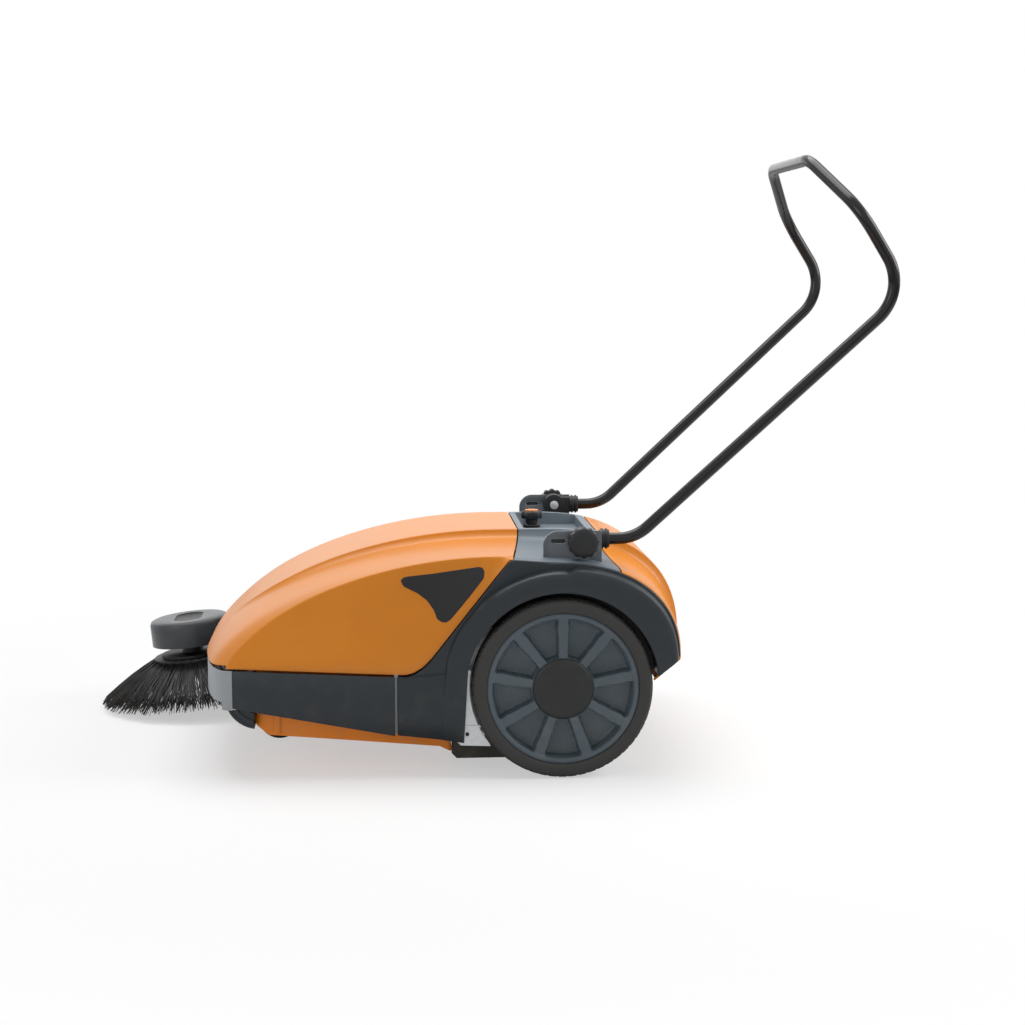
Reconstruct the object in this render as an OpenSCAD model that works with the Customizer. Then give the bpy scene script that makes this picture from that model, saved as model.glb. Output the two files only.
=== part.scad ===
// Walk-behind sweeper: two drive wheels turn a roller brush and a side brush.
// Lengths are millimetres. Travel is towards -X, +Y is the side-brush side, +Z is up.
// Shapes are drawn round the drive-wheel centre line and then set on the part's own origin.

/* [Drive wheels] */
// Radius of a drive wheel over its tyre
wheel_r = 150; // [144:1:156]
// Width of a tyre
tyre_w = 52; // [44:1:58]
// Height of the tyre over the moulded rim
tyre_h = 24; // [20:1:30]
// Radius of the black hub cap
hub_cap_r = 50.5; // [44:0.5:54]
// Number of rim spokes
spoke_count = 9; // [5:1:12]
// Width of a spoke at the hub
spoke_w = 15; // [10:1:18]
// Radius of the fixed stub axle
stub_r = 10; // [8:0.5:11]

/* [Body shell] */
// Half width of the body at the foot of its sides
half_w = 297; // [291:1:303]
// Half width of the raised band along the top
ridge_half = 122; // [112:1:130]
// Height of the top of the body
top_z = 390; // [384:1:396]
// Length of the hood ahead of its crest
nose_len = 498; // [490:1:506]
// Height of the hood's front edge
hood_edge_z = 187; // [183:1:191]
// Length of the rounded tail behind the crest
tail_len = 240; // [236:1:246]
// Thickness of moulded walls
wall = 3.5; // [2.5:0.5:4.5]
// Gap between neighbouring mouldings
seam = 3; // [2:0.5:4]

/* [Chassis] */
// Thickness of the steel side plates
plate_t = 3; // [2:0.5:4]
// Half width between the steel side plates
plate_y = 245; // [243:1:247]
// Ground clearance below the steel side plates
plate_z = 57; // [52:1:62]
// Half width over the outer skirts
skirt_y = 302; // [300:1:305]

/* [Hopper] */
// Half width of the dirt hopper on the side away from the belt
hopper_y = 270; // [262:1:274]
// Height of the hopper rim at the rear
hopper_z = 300; // [280:1:310]

/* [Gear drive] */
// Gear module
gear_m = 2.5; // [2.5:0.5:2.5]
// Teeth on the wheel gear
wheel_teeth = 40; // [38:1:42]
// Teeth on the brush pinion
pinion_teeth = 20; // [18:1:22]
// Face width of the gears
gear_w = 7; // [5:0.5:7.5]

/* [Roller brush] */
// Radius over the bristles
roller_r = 123.5; // [116:0.5:124]
// Radius of the brush core
core_r = 32; // [26:1:40]
// Number of bristle rows
row_count = 8; // [4:1:10]
// Height of the brush axis
roller_z = 125; // [124.5:0.5:128]

/* [Side brush] */
// Radius over the tips of the side brush
side_r = 185; // [175:1:190]
// Forward tilt of the side brush in degrees
side_tilt = 6; // [4:0.5:8]
// Radius of the side-brush cap
cap_r = 75; // [70:1:78]
// Height of the side-brush cap
cap_h = 48; // [44:1:52]
// Number of bristle tufts
tuft_count = 28; // [16:1:32]

/* [Handle] */
// Radius of the handle tube
tube_r = 10; // [9:0.5:11]
// Half width of the handle at its knees
knee_y = 279; // [270:1:288]
// Height of the handle's top bar
bar_z = 1018; // [980:1:1050]
// Half width of the handle's top bar
bar_y = 148; // [130:1:170]
// Radius of the clamp knobs
knob_r = 26; // [22:1:28]

/* [Castor] */
// Radius of the front castor wheel
castor_r = 37; // [34:1:38]
// Trail of the castor wheel behind its swivel
castor_trail = 20; // [14:1:24]

/* [Hidden] */
$fn = 64;

orange = [0.86, 0.47, 0.12];
graphite = [0.22, 0.25, 0.28];
deck_grey = [0.33, 0.36, 0.39];
rubber_black = [0.10, 0.10, 0.10];
zinc = [0.75, 0.77, 0.78];
olive = [0.20, 0.20, 0.18];

fit = 0.05;          // running clearance on a radius
gap = 0.3;           // clearance between bodies that pass each other

// Wheels: the axle line is the reference of the whole drawing
wheel_z = wheel_r;
rim_r = wheel_r - tyre_h;
tyre_y1 = 320;       // outer face of a tyre
tyre_y0 = tyre_y1 - tyre_w;
plate_y1 = plate_y + plate_t;
gear_y0 = plate_y1 + 2;
gear_y1 = gear_y0 + gear_w;
arch_r = wheel_r + 9;
arch_x = -(wheel_r + 6);   // front edge of the side plates, just clear of the tyre

// Brush axis: the gears set its distance from the axle line
gear_centres = gear_m * (wheel_teeth + pinion_teeth) / 2;
roller_dz = wheel_z - roller_z;
roller_x = -sqrt(gear_centres * gear_centres - roller_dz * roller_dz);
mesh_angle = atan2(-roller_dz, roller_x);
shaft_r = 8;

// Body shell stations
crest_x = -100;
hood_rear_x = -62;
deck_x0 = -50;
deck_x1 = 78;
cover_x0 = deck_x1 + seam;
base_z = 150;
hood_power = 1.22;    // 1 makes the hood a quarter ellipse, more makes it flatter towards the nose
tail_x = -20;
tail_z = 190;
shoulder_y = half_w - 12;
shoulder_drop = 23;
nose_x = crest_x - nose_len;
corner_x = nose_x + 57;

// Front cross-member and castor
beam_x0 = corner_x - 4;
beam_x1 = beam_x0 + 25;
beam_z0 = 115;
beam_z1 = 138;
swivel_x = beam_x1 + 20;
castor_w = 24;
castor_x = swivel_x + castor_trail;

// Side-brush arm pivot
pivot_x = beam_x0 + 17;
pivot_z = 156;
belt_y = 262;
cross_y = 270;
belt_r = 2.5;
small_r = 11.5;      // belt centre radius on the layshaft pulleys
big_r = 46;          // belt centre radius on the drive-wheel pulley
head_r = 14;         // belt centre radius on the side-brush pulley
side_x = nose_x - 69;
side_y = 284;
cap_top_z = 171.5;
head_z = (pivot_z - cap_top_z) * cos(side_tilt) - (pivot_x - side_x) * sin(side_tilt)
  - small_r;         // belt plane below the cap's top
tip_depth = (cap_top_z - 0.5 - side_r * sin(side_tilt)) / cos(side_tilt);

// Height adjuster on the deck
adjust_x = -21;
adjust_y = 70;
star_r = 19;
pad_h = 1;            // round pad that the knob turns on

// Handle
ear_x0 = -29;
ear_x1 = 68;
clamp_x = 36;
clamp_z = 388;
ear_y = 263;
ear_t = 4;
jaw_t = 24;
rib_r = 17;
leg_y = ear_y - rib_r - 1;
tube_wall = 1.8;
knee_x = 546;
knee_z = 815;
bar_x = 426;

// Frame rails and the top of the side plates
rail_y0 = 288;
rail_y1 = 291;
rail_z0 = 118;
rail_z1 = 165;
plate_top = 335;

// The origin is under the middle of the overall box
shift_x = -((side_x - side_r * cos(side_tilt) + tip_depth * sin(side_tilt))
  + (knee_x + tube_r)) / 2;
shift_y = -((-(tyre_y1 + 2)) + (side_y + side_r)) / 2;

module place() translate([shift_x, shift_y, 0]) children();
module opposite() mirror([0, 1, 0]) children();

// Slab between two planes on the left side, drawn in the X-Z plane
module slab(y0, y1) translate([0, -y0, 0]) rotate([90, 0, 0])
  linear_extrude(y1 - y0) children();

// Turn a radius-and-offset outline about a line along Y on the left side
module turned(x, z) translate([x, 0, z]) rotate([90, 0, 0]) rotate_extrude($fn = 96) children();
module rod(x, z, r, y0, y1) translate([x, -y0, z]) rotate([90, 0, 0]) cylinder(r = r, h = y1 - y0);
module block(x0, x1, y0, y1, z0, z1) translate([x0, y0, z0]) cube([x1 - x0, y1 - y0, z1 - z0]);
module ring(r0, r1, h0, h1) translate([r0, h0]) square([r1 - r0, h1 - h0]);

function mix(a, b, t) = a + (b - a) * t;
function clamp01(t) = max(0, min(1, t));
function smooth(t) = let(c = clamp01(t)) c * c * (3 - 2 * c);

// ---------- body shell lines ----------
// Across the body: 0 centre, 3 ridge, 4 foot of the step, 9 shoulder, 11 foot of the side
LINES = 12;
across = [0, 0.4, 0.8, 1, 0.03, 0.1, 0.25, 0.5, 0.8, 1, 0.5, 1];
drops = [0, 0.04, 0.12, 0, 0.44, 0.62, 0.76, 0.88, 0.96, 1, 0, 0];
front_share = [0, 0.06, 0.12, 0.16, 0.2, 0.27, 0.45, 0.7, 0.88, 0.985, 1, 1];

function half_at(k) = k <= 3 ? across[k] * ridge_half
  : k <= 9 ? mix(ridge_half, shoulder_y, across[k])
  : mix(shoulder_y, half_w, across[k]);
function step_share(k) = k <= 3 ? 0 : k <= 9 ? drops[k] : 1;
function front_x(y) = corner_x - (corner_x - nose_x)
  * pow(max(0, 1 - pow(min(1, abs(y) / half_w), 2.5)), 0.4);
function side_foot(x) = x < -250 ? mix(172, hood_edge_z, (x + 250) / (corner_x + 250))
  : 172 + 0.0054 * pow(x + 250, 2);
function tail_curve(x, a, h, p) = tail_z + h
  * pow(max(0, 1 - pow(clamp01((x - tail_x) / a), p)), 1 / p);
function ridge_at(x) = x < tail_x ? top_z : tail_curve(x, tail_len, top_z - tail_z, 2.5);
function shoulder_at(x) = x < tail_x
  ? top_z - mix(shoulder_drop, shoulder_drop + 6, clamp01((x - crest_x) / (tail_x - crest_x)))
  : tail_curve(x, tail_len - 19, top_z - shoulder_drop - 6 - tail_z, 2.2);

// A point of the hood on line k, t from its front edge (0) to its crest (1), then on to 2
function hood_rise(k) = (top_z - base_z) - shoulder_drop * step_share(k);
function hood_start(k) = let(lift = k >= 9 ? 6 : 0)
  asin(pow((hood_edge_z + lift - base_z) / hood_rise(k), 1 / hood_power));
function hood_line(k, t) = let(
    kk = min(k, 9), a0 = hood_start(kk), a = a0 + (90 - a0) * min(t, 1),
    y0 = half_w * front_share[kk], s = smooth((a - 5) / 42),
    reach = crest_x - front_x(y0), x = crest_x - reach * cos(a) / cos(a0),
    rear = hood_rear_x - 20 * clamp01((half_at(kk) - ridge_half) / (half_w - ridge_half)),
    xr = t > 1 ? mix(crest_x, rear, t - 1) : x,
    fade = mix(kk > 3 && kk < 9 ? 0.35 : 1, 1, s),
    z = base_z + (hood_rise(kk) + shoulder_drop * step_share(kk) * (1 - fade)) * pow(sin(a), hood_power),
    y = mix(y0, half_at(kk), s), foot = side_foot(xr))
  k <= 9 ? [xr, y, z]
  : [xr, mix(max(y, shoulder_y), half_w, across[k]), mix(z, min(foot, z - 4), across[k])];

// Wall thickness: the inner face is the outer one moved in along X, Y and Z
function inward(p, k, nose, t) = [p[0] + nose * t, p[1] - (k >= 9 ? t : k > 6 ? t / 3 : 0),
  p[2] - (k > 9 ? 0 : t * (1 - 0.4 * nose))];

// A closed shell from two grids of points, outer and inner, mirrored about Y = 0
module shell(outer, inner) {
  rows = len(outer);
  m = 2 * LINES - 1;
  function full(row) = [for (k = [LINES - 1 : -1 : 1]) [row[k][0], -row[k][1], row[k][2]],
    for (k = [0 : LINES - 1]) row[k]];
  pts = [for (r = outer) each full(r), for (r = inner) each full(r)];
  n = rows * m;
  function quad(a, b, c, d) = [[a, b, c], [a, c, d]];
  faces = [
    for (i = [0 : rows - 2], j = [0 : m - 2]) let(a = i * m + j)
      each quad(a, a + 1, a + m + 1, a + m),
    for (i = [0 : rows - 2], j = [0 : m - 2]) let(a = n + i * m + j)
      each quad(a + m, a + m + 1, a + 1, a),
    for (j = [0 : m - 2]) each quad(n + j, n + j + 1, j + 1, j),
    for (j = [0 : m - 2]) let(a = (rows - 1) * m + j) each quad(a, a + 1, n + a + 1, n + a),
    for (i = [0 : rows - 2]) let(a = i * m) each quad(a, a + m, n + a + m, n + a),
    for (i = [0 : rows - 2]) let(a = i * m + m - 1) each quad(n + a, n + a + m, a + m, a)];
  polyhedron(pts, faces, convexity = 6);
}

HOOD_T = [0, 0.05, 0.11, 0.18, 0.26, 0.35, 0.45, 0.55, 0.65, 0.75, 0.85, 0.93, 1, 1.5, 2];
module hood() color(orange) place() {
  outer = [for (t = HOOD_T) [for (k = [0 : LINES - 1]) hood_line(k, t)]];
  inner = [for (t = HOOD_T) [for (k = [0 : LINES - 1])
    inward(hood_line(k, t), k, cos(90 * min(t, 1)), wall)]];
  shell(outer, inner);
}

// ---------- tail cover ----------
cover_web_x = 110;
function plate_edge_z(x) = mix(plate_top, 240, (x - 85) / 55);   // slanting rear edge of a side plate
function tail_a(k) = tail_len - 19 * step_share(k);
function tail_h(k) = let(s = step_share(k))
  (top_z - tail_z) - (shoulder_drop + 6) * s;
function tail_p(k) = mix(2.5, 2.2, step_share(k));
function tail_line(k, t) = let(
    kk = min(k, 9), p = tail_p(kk), a = tail_a(kk),
    x0 = cover_x0 + 19 * clamp01((half_at(kk) - ridge_half) / (half_w - ridge_half)),
    a0 = acos(pow((x0 - tail_x) / a, p / 2)), u = min(t, 1), ang = a0 * (1 - u),
    x = tail_x + a * pow(cos(ang), 2 / p),
    z = tail_z + tail_h(kk) * pow(sin(ang), 2 / p), low = max(0, t - 1),
    y = half_at(k) - 6 * u * (kk / 9))
  low > 0
    ? [x - 42 * low - (k > 9 ? 1 : 0), y - 8 * low, tail_z - 8 - 38 * low]
    : k <= 9 ? [x, y, z] : [x - 3 * u * across[k], y, z - mix(20, 8, u) * across[k] * (1 - 0.5 * u)];
TAIL_T = [0, 0.12, 0.25, 0.38, 0.5, 0.62, 0.74, 0.86, 0.94, 1, 1.02, 2];
module rear_cover() color(orange) place() {
  outer = [for (t = TAIL_T) [for (k = [0 : LINES - 1]) tail_line(k, t)]];
  inner = [for (t = TAIL_T) [for (k = [0 : LINES - 1])
    let(p = tail_line(k, t), u = min(t, 1)) [p[0] - wall * sin(90 * u),
      p[1] - (k >= 9 ? wall : 0), p[2] - (k > 9 ? 0 : wall * cos(90 * u) - (t > 1 ? wall * (t - 1) : 0))]]];
  shell(outer, inner);
  cross_web(cover_web_x, plate_edge_z(cover_web_x - 2), 4, [ridge_half - 5, ridge_at(cover_web_x) - 2]);
}

// ---------- deck between hood and tail cover ----------
trough_z = top_z - 22;
trough_half = 106;
function deck_row(x, sunk) = [for (k = [0 : LINES - 1]) let(
    w = clamp01((half_at(k) - ridge_half) / (half_w - ridge_half)),
    xx = x < 0 ? x - 30 * w : x + 18 * w, r = ridge_at(xx), s = shoulder_at(xx),
    y = k == 1 && sunk ? trough_half : k == 2 && sunk ? trough_half + 4 : half_at(k),
    top = k <= 3 ? r : mix(r, s, step_share(k)))
  k <= 1 && sunk ? [xx, y, trough_z] : k <= 9 ? [xx, y, top] : [xx, y, top - 16 * across[k]]];
// Stations of the deck: position, whether the trough is sunk there, shift of the inner face
DECK_X = [[deck_x0, false, 0], [deck_x0 + 4, false, -wall], [deck_x0 + 5, true, -wall - 0.5],
  [-15, true, 0], [15, true, 0], [45, true, 0], [deck_x1 - 16, true, wall],
  [deck_x1 - 13, false, wall], [deck_x1, false, 0]];
// Cross web under a moulding: its upper edge lies inside the skin, its foot on the side plates
function section_z(k, x) = mix(ridge_at(x), shoulder_at(x), step_share(k));
module cross_web(x, foot, inset, middle) translate([x - 2, 0, 0]) rotate([90, 0, 90])
  linear_extrude(4) polygon(concat(
    [for (k = [9 : -1 : 4]) [half_at(k) - inset, section_z(k, x) - inset]],
    [[middle[0], middle[1]], [-middle[0], middle[1]]],
    [for (k = [4 : 9]) [inset - half_at(k), section_z(k, x) - inset]],
    [[-plate_y - 30, foot], [plate_y + 30, foot]]));
module deck() color(deck_grey) place() difference() {
  union() {
    shell([for (d = DECK_X) deck_row(d[0], d[1])],
      [for (d = DECK_X) [for (k = [0 : LINES - 1]) let(p = deck_row(d[0], d[1])[k])
        [p[0] + d[2], p[1] - (k >= 9 ? wall : k == 1 || k == 2 ? -wall : 0),
          p[2] - (k > 9 ? 0 : wall)]]]);
    for (x = [-36, 72]) cross_web(x, plate_top + gap, 2, [trough_half, trough_z - 2]);
    translate([adjust_x, adjust_y, trough_z - 2]) cylinder(r = star_r + 2, h = 2 + pad_h);
  }
  for (s = [-1, 1]) translate([(ear_x0 + ear_x1) / 2, s * (ear_y + ear_t / 2), 0])
    cube([ear_x1 - ear_x0 + 2 * gap, ear_t + 2 * gap, 2 * top_z], center = true);
  translate([adjust_x, adjust_y, trough_z - 20]) cylinder(r = 5 + fit, h = 40);
}

// ---------- fenders and skirts ----------
panel_y0 = skirt_y - 4;
crest_r = arch_r + 41;
module fender_outline() difference() {
  polygon(concat([[-272, 70], [-203, 61], [-155, plate_z - 1], [-155, wheel_z - 60], [0, wheel_z]],
    [[152, 165], [192, 203]],
    [for (z = [206, 236, 255, 276, 298, 318, 333]) [tail_edge_x(z), z]],
    [for (x = [96, 40, -20, -76]) [x, shoulder_at(x) - 19]],
    [for (x = [-84, -100, -120, -145, -170, -200, -230, -252]) [x, side_foot(x) - seam]],
    [[-272, side_foot(-272) - seam]]));
  translate([0, wheel_z]) circle(r = arch_r);
}
function tail_edge_x(z) = tail_x + (tail_len - 30)
  * pow(1 - pow((z - tail_z) / (top_z - shoulder_drop - 16 - tail_z), 2.2), 1 / 2.2);
module fender() {
  slab(panel_y0, skirt_y) fender_outline();
  intersection() {
    turned(0, wheel_z) polygon([[arch_r, panel_y0 + 1], [crest_r - 2, panel_y0 + 1],
      [crest_r - 2, tyre_y1 - 10], [crest_r - 5, tyre_y1 - 3], [crest_r - 12, tyre_y1 + 1.5],
      [arch_r + 3, tyre_y1 + 2], [arch_r, tyre_y1]]);
    slab(panel_y0, tyre_y1 + 4) polygon([[-300, 120], [-300, 400], [300, 400], [260, 271],
      [192, 203], [152, 165], [60, 190], [-100, 190]]);
    // the bulge runs out into the skirt ahead of the wheel
    linear_extrude(500) polygon([[260, 0], [260, -tyre_y1 - 4], [-96, -tyre_y1 - 4],
      [-205, -skirt_y + 0.5], [-205, 0]]);
  }
  // inner guard over the tyre
  intersection() {
    turned(0, wheel_z) ring(arch_r, arch_r + wall, tyre_y0 + 1, panel_y0 + 1);
    slab(tyre_y0, skirt_y) polygon([[-220, 170], [-220, 400], [220, 400], [220, 233],
      [152, 165], [0, 200]]);
  }
  for (x = [-250, -215]) rod(x, 140, 7, rail_y1, panel_y0 + 1);
}
module fender_left() color(graphite) place() fender();
module fender_right() color(graphite) place() opposite() fender();

module skirt() {
  slab(panel_y0, skirt_y) polygon([[corner_x + 0.3, side_foot(corner_x) - seam],
    [-276, side_foot(-276) - seam], [-276, 72], [corner_x + 0.3, 122]]);
  for (x = [corner_x + 41, corner_x + 141, -310]) rod(x, 142, 7, rail_y1, panel_y0 + 1);
}
module skirt_left() color(graphite) place() skirt();
module skirt_right() color(graphite) place() opposite() skirt();

// ---------- front bumper ----------
bumper_z0 = 132;
bumper_z1 = hood_edge_z - seam;
function bumper_x(y, t) = corner_x - (corner_x - nose_x - 1 - t)
  * pow(max(0, 1 - pow(min(1, abs(y) / (skirt_y - t)), 2.5)), 0.4);
function bumper_edge(t, i0, i1) = [for (i = [i0 : i1]) let(y = (skirt_y - t) * sin(i * 6)) [bumper_x(y, t), y]];
function reversed(v) = [for (i = [len(v) - 1 : -1 : 0]) v[i]];
module bumper_strip(i0, i1) polygon(concat(bumper_edge(0, i0, i1), reversed(bumper_edge(4, i0, i1))));
module front_bumper() color(deck_grey) place() difference() {
  union() {
    translate([0, 0, bumper_z0]) linear_extrude(bumper_z1 - bumper_z0) bumper_strip(-15, 15);
    // corner legs that run down to meet the skirts
    for (s = [-15, 13]) translate([0, 0, 119]) linear_extrude(bumper_z0 - 119) bumper_strip(s, s + 2);
    // stays against the cross-member and the rails
    for (y = [-150, 150]) block(nose_x + 7, beam_x0 - gap, y - 14, y + 14, bumper_z0, beam_z1);
    for (s = [-1, 1]) block(corner_x - 12, beam_x0 - gap, s * 292 - 5, s * 292 + 5, bumper_z0 + 1, 160);
  }
  // way in for the side-brush arm
  block(nose_x - 20, corner_x + 20, 240, 289, bumper_z0 + 5, 200);
}

// Curved chin behind the bumper, closed at each end by a ribbed plate
chin_r = 56;
chin_z = 139;
chin_half = rail_y0 - 5;
chin_top = beam_z0 + 3 - gap;
module chin_slab(y0, y1) translate([beam_x0 - 10 + chin_r, y1, chin_z]) rotate([90, 0, 0])
  linear_extrude(y1 - y0) children();
function chin_arc(r) = [for (a = [176 : 4 : 264]) r * [cos(a), sin(a)]];
module chin_disc(r0, r1, y0, y1) chin_slab(y0, y1) difference() {
  circle(r = r1);
  if (r0 > 0) circle(r = r0);
}
module apron() color(graphite) place() difference() {
  union() {
    intersection() {
      chin_slab(-chin_half, chin_half)
        polygon(concat(chin_arc(chin_r), reversed(chin_arc(chin_r - 4))));
      block(beam_x0 - 20, beam_x0 + 38, -300, 300, 80, bumper_z0 - gap);
    }
    for (s = [0, 1]) mirror([0, s, 0]) intersection() {
      union() {
        chin_disc(0, chin_r - 2, chin_half - 3, chin_half - 1);
        for (r = [chin_r - 10, chin_r - 22]) chin_disc(r - 4, r, chin_half - 2, chin_half + 2);
      }
      block(beam_x0 - 20, beam_x0 + 38, 200, 300, 80, chin_top);
    }
  }
  block(beam_x0 - 55, swivel_x + 100, -pocket_half, pocket_half, 0, beam_z0 + 1);
}

// ---------- dirt hopper ----------
belt_side_y = hopper_y - 18;   // the hopper is narrower beside the drive belt
pocket_half = 64;
pocket_x = swivel_x + 62;
hopper_x0 = beam_x1 + 8;
hopper_x1 = -182;
// Side view of the hopper (t = 0) and of its hollow, which is t smaller and open at mouth and top
module hopper_section(t) {
  open = t > 0 ? 10 : 0;
  polygon([[hopper_x0 + t, 190 - 0.4 * t], [hopper_x0 + t, 103 + t], [hopper_x0 + 8 + t, 86 + t],
    [hopper_x0 + 29 + t / 2, 70 + t], [-351, 59 + t], [hopper_x1 - 20, 46 + t],
    [hopper_x1 + open, 36 + t], [hopper_x1 + open, 60], [hopper_x1 - 14 + 2 * open, 130],
    [hopper_x1 - 23 - t, 215], [hopper_x1 - 23 - t, hopper_z + open], [-320, hopper_z + open]]);
}
module hopper_plan() hull() {
  for (y = [-hopper_y + 20, belt_side_y - 20]) translate([hopper_x0 + 20, y]) circle(r = 20);
  for (y = [-hopper_y + 10, belt_side_y - 10]) translate([hopper_x1 - 10, y]) circle(r = 10);
}
module hopper() color(orange) place() {
  difference() {
    union() {
      intersection() {
        translate([0, 600, 0]) rotate([90, 0, 0]) linear_extrude(1200) hopper_section(0);
        linear_extrude(500) hopper_plan();
      }
      // seats on the frame rails
      block(hopper_x0 + 112, -210, -rail_y1 - 1, -hopper_y + 8, rail_z1 + gap, rail_z1 + gap + 4);
      block(hopper_x0 + 112, -210, belt_side_y - 8, rail_y1 + 1, rail_z1 + gap, rail_z1 + gap + 4);
      // stiffening rib at the front corner
      block(hopper_x0 + 37, hopper_x0 + 47, -hopper_y - 2.5, -hopper_y + 10, 72, 165);
    }
    difference() {
      translate([0, belt_side_y - 4, 0]) rotate([90, 0, 0])
        linear_extrude(hopper_y + belt_side_y - 8) hopper_section(4);
      block(-600, pocket_x + 4, -pocket_half - 4, pocket_half + 4, 0, 134);
    }
    block(-600, pocket_x, -pocket_half, pocket_half, 0, 130);
  }
}

// ---------- steel chassis ----------
module side_plate(window) difference() {
  union() {
    slab(plate_y, plate_y1) polygon([[arch_x, plate_z], [118, plate_z], [135, 110], [150, 180],
      [140, 240], [85, plate_top], [-60, plate_top], [arch_x, 235]]);
    block(arch_x, arch_x + plate_t, -rail_y0, -plate_y - 1, plate_z + 16, rail_z1 + 13);
  }
  rod(0, wheel_z, stub_r + gap, plate_y - 1, plate_y1 + 1);
  rod(roller_x, roller_z, 14 + gap, plate_y - 1, plate_y1 + 1);
  for (x = [-10, 50]) rod(x, 318, 4.2, plate_y - 1, plate_y1 + 1);
  if (window) block(arch_x - 4, arch_x + 16, -belt_y - 6, -belt_y + 6, 96, 206);
}
module side_plate_left() color(zinc) place() side_plate(false);
module side_plate_right() color(zinc) place() opposite() side_plate(true);

module frame_rail() {
  slab(rail_y0, rail_y1) union() {
    translate([beam_x0, rail_z0]) square([arch_x + plate_t - beam_x0, rail_z1 - rail_z0]);
    translate([-300, 78]) square([50, rail_z1 - 78]);
  }
}
module frame_rail_left() color(zinc) place() frame_rail();
module frame_rail_right() color(zinc) place() opposite() frame_rail();

module front_crossmember() color(zinc) place() difference() {
  union() {
    block(beam_x0, beam_x1, -rail_y0, rail_y0, beam_z0 + 3, beam_z1);
    block(beam_x0, swivel_x + 48, -52, 52, beam_z0, beam_z0 + 4);
  }
  block(beam_x0 + 3, beam_x1 - 3, -rail_y0 + 3, rail_y0 - 3, beam_z0 + 6, beam_z1 + 1);
  translate([swivel_x, 0, beam_z0 - 1]) cylinder(r = 6 + fit, h = 10);
}
rear_x0 = 80;
module rear_crossmember() color(zinc) place() difference() {
  block(rear_x0, rear_x0 + 30, -plate_y, plate_y, 62, 92);
  block(rear_x0 + 3, rear_x0 + 27, -plate_y - 1, plate_y + 1, 65, 89);
}

tunnel_r = roller_r + 11;
module brush_tunnel() color(graphite) place() translate([roller_x, plate_y - gap, roller_z])
  rotate([90, 0, 0]) rotate([0, 0, -25]) rotate_extrude(angle = 155, $fn = 96)
    translate([tunnel_r, 0]) square([3, 2 * (plate_y - gap)]);

// ---------- rubber seals ----------
flap_t = 3;
module side_flap() slab(plate_y1, plate_y1 + flap_t) polygon([[hopper_x1 + 0.5, 29],
  [hopper_x1 + 9, 20], [70, 20], [118, 62], [118, 72], [-149, 72], [hopper_x1 + 0.5, 58]]);
module side_flap_left() color(olive) place() side_flap();
module side_flap_right() color(olive) place() opposite() side_flap();
module rear_flap() color(olive) place() block(rear_x0 - flap_t, rear_x0, -plate_y + 2, plate_y - 2, 8, 88);
module flap_clamps() color(zinc) place() {
  for (s = [0, 1]) mirror([0, s, 0]) slab(plate_y1 + flap_t, plate_y1 + flap_t + 1.5) difference() {
    translate([-148, plate_z + 2]) square([262, 13]);
    translate([roller_x, roller_z]) circle(r = 34);
  }
  block(rear_x0 - flap_t - 2, rear_x0 - flap_t, -plate_y + 4, plate_y - 4, 66, 86);
}

// ---------- axles and bearings ----------
module stub_axles() color(zinc) place() for (s = [0, 1]) mirror([0, s, 0]) {
  rod(0, wheel_z, 24, plate_y - 4, plate_y);
  rod(0, wheel_z, stub_r, plate_y - 4, 312);
  rod(0, wheel_z, stub_r + 5, 309.5, 312);
}
module brush_bearings() color(zinc) place() for (s = [0, 1]) mirror([0, s, 0]) difference() {
  union() {
    rod(roller_x, roller_z, 24, plate_y - 5, plate_y);
    rod(roller_x, roller_z, 14, plate_y - 5, plate_y1);
  }
  rod(roller_x, roller_z, shaft_r + fit, plate_y - 10, plate_y1 + 5);
}

// ---------- drive wheels ----------
lug_count = 56;
module tyre() difference() {
  turned(0, wheel_z) polygon([[rim_r + 0.1, tyre_y0 + 2], [rim_r + 0.1, tyre_y1 - 2],
    [rim_r + 3, tyre_y1], [wheel_r - 6, tyre_y1], [wheel_r - 2, tyre_y1 - 4],
    [wheel_r - 0.5, tyre_y1 - 12], [wheel_r, tyre_y1 - 20], [wheel_r, tyre_y0 + 20],
    [wheel_r - 0.5, tyre_y0 + 12], [wheel_r - 2, tyre_y0 + 4], [wheel_r - 6, tyre_y0],
    [rim_r + 3, tyre_y0]]);
  // grooves between the tread lugs on both shoulders
  for (y = [tyre_y0 - 1, tyre_y1 - 13]) slab(y, y + 14) for (i = [0 : lug_count - 1])
    translate([0, wheel_z]) rotate(i * 360 / lug_count + 3) translate([wheel_r - 3, -1.8]) square([8, 3.6]);
}
module tyre_left() color(rubber_black) place() tyre();
module tyre_right() color(rubber_black) place() opposite() tyre();

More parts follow.
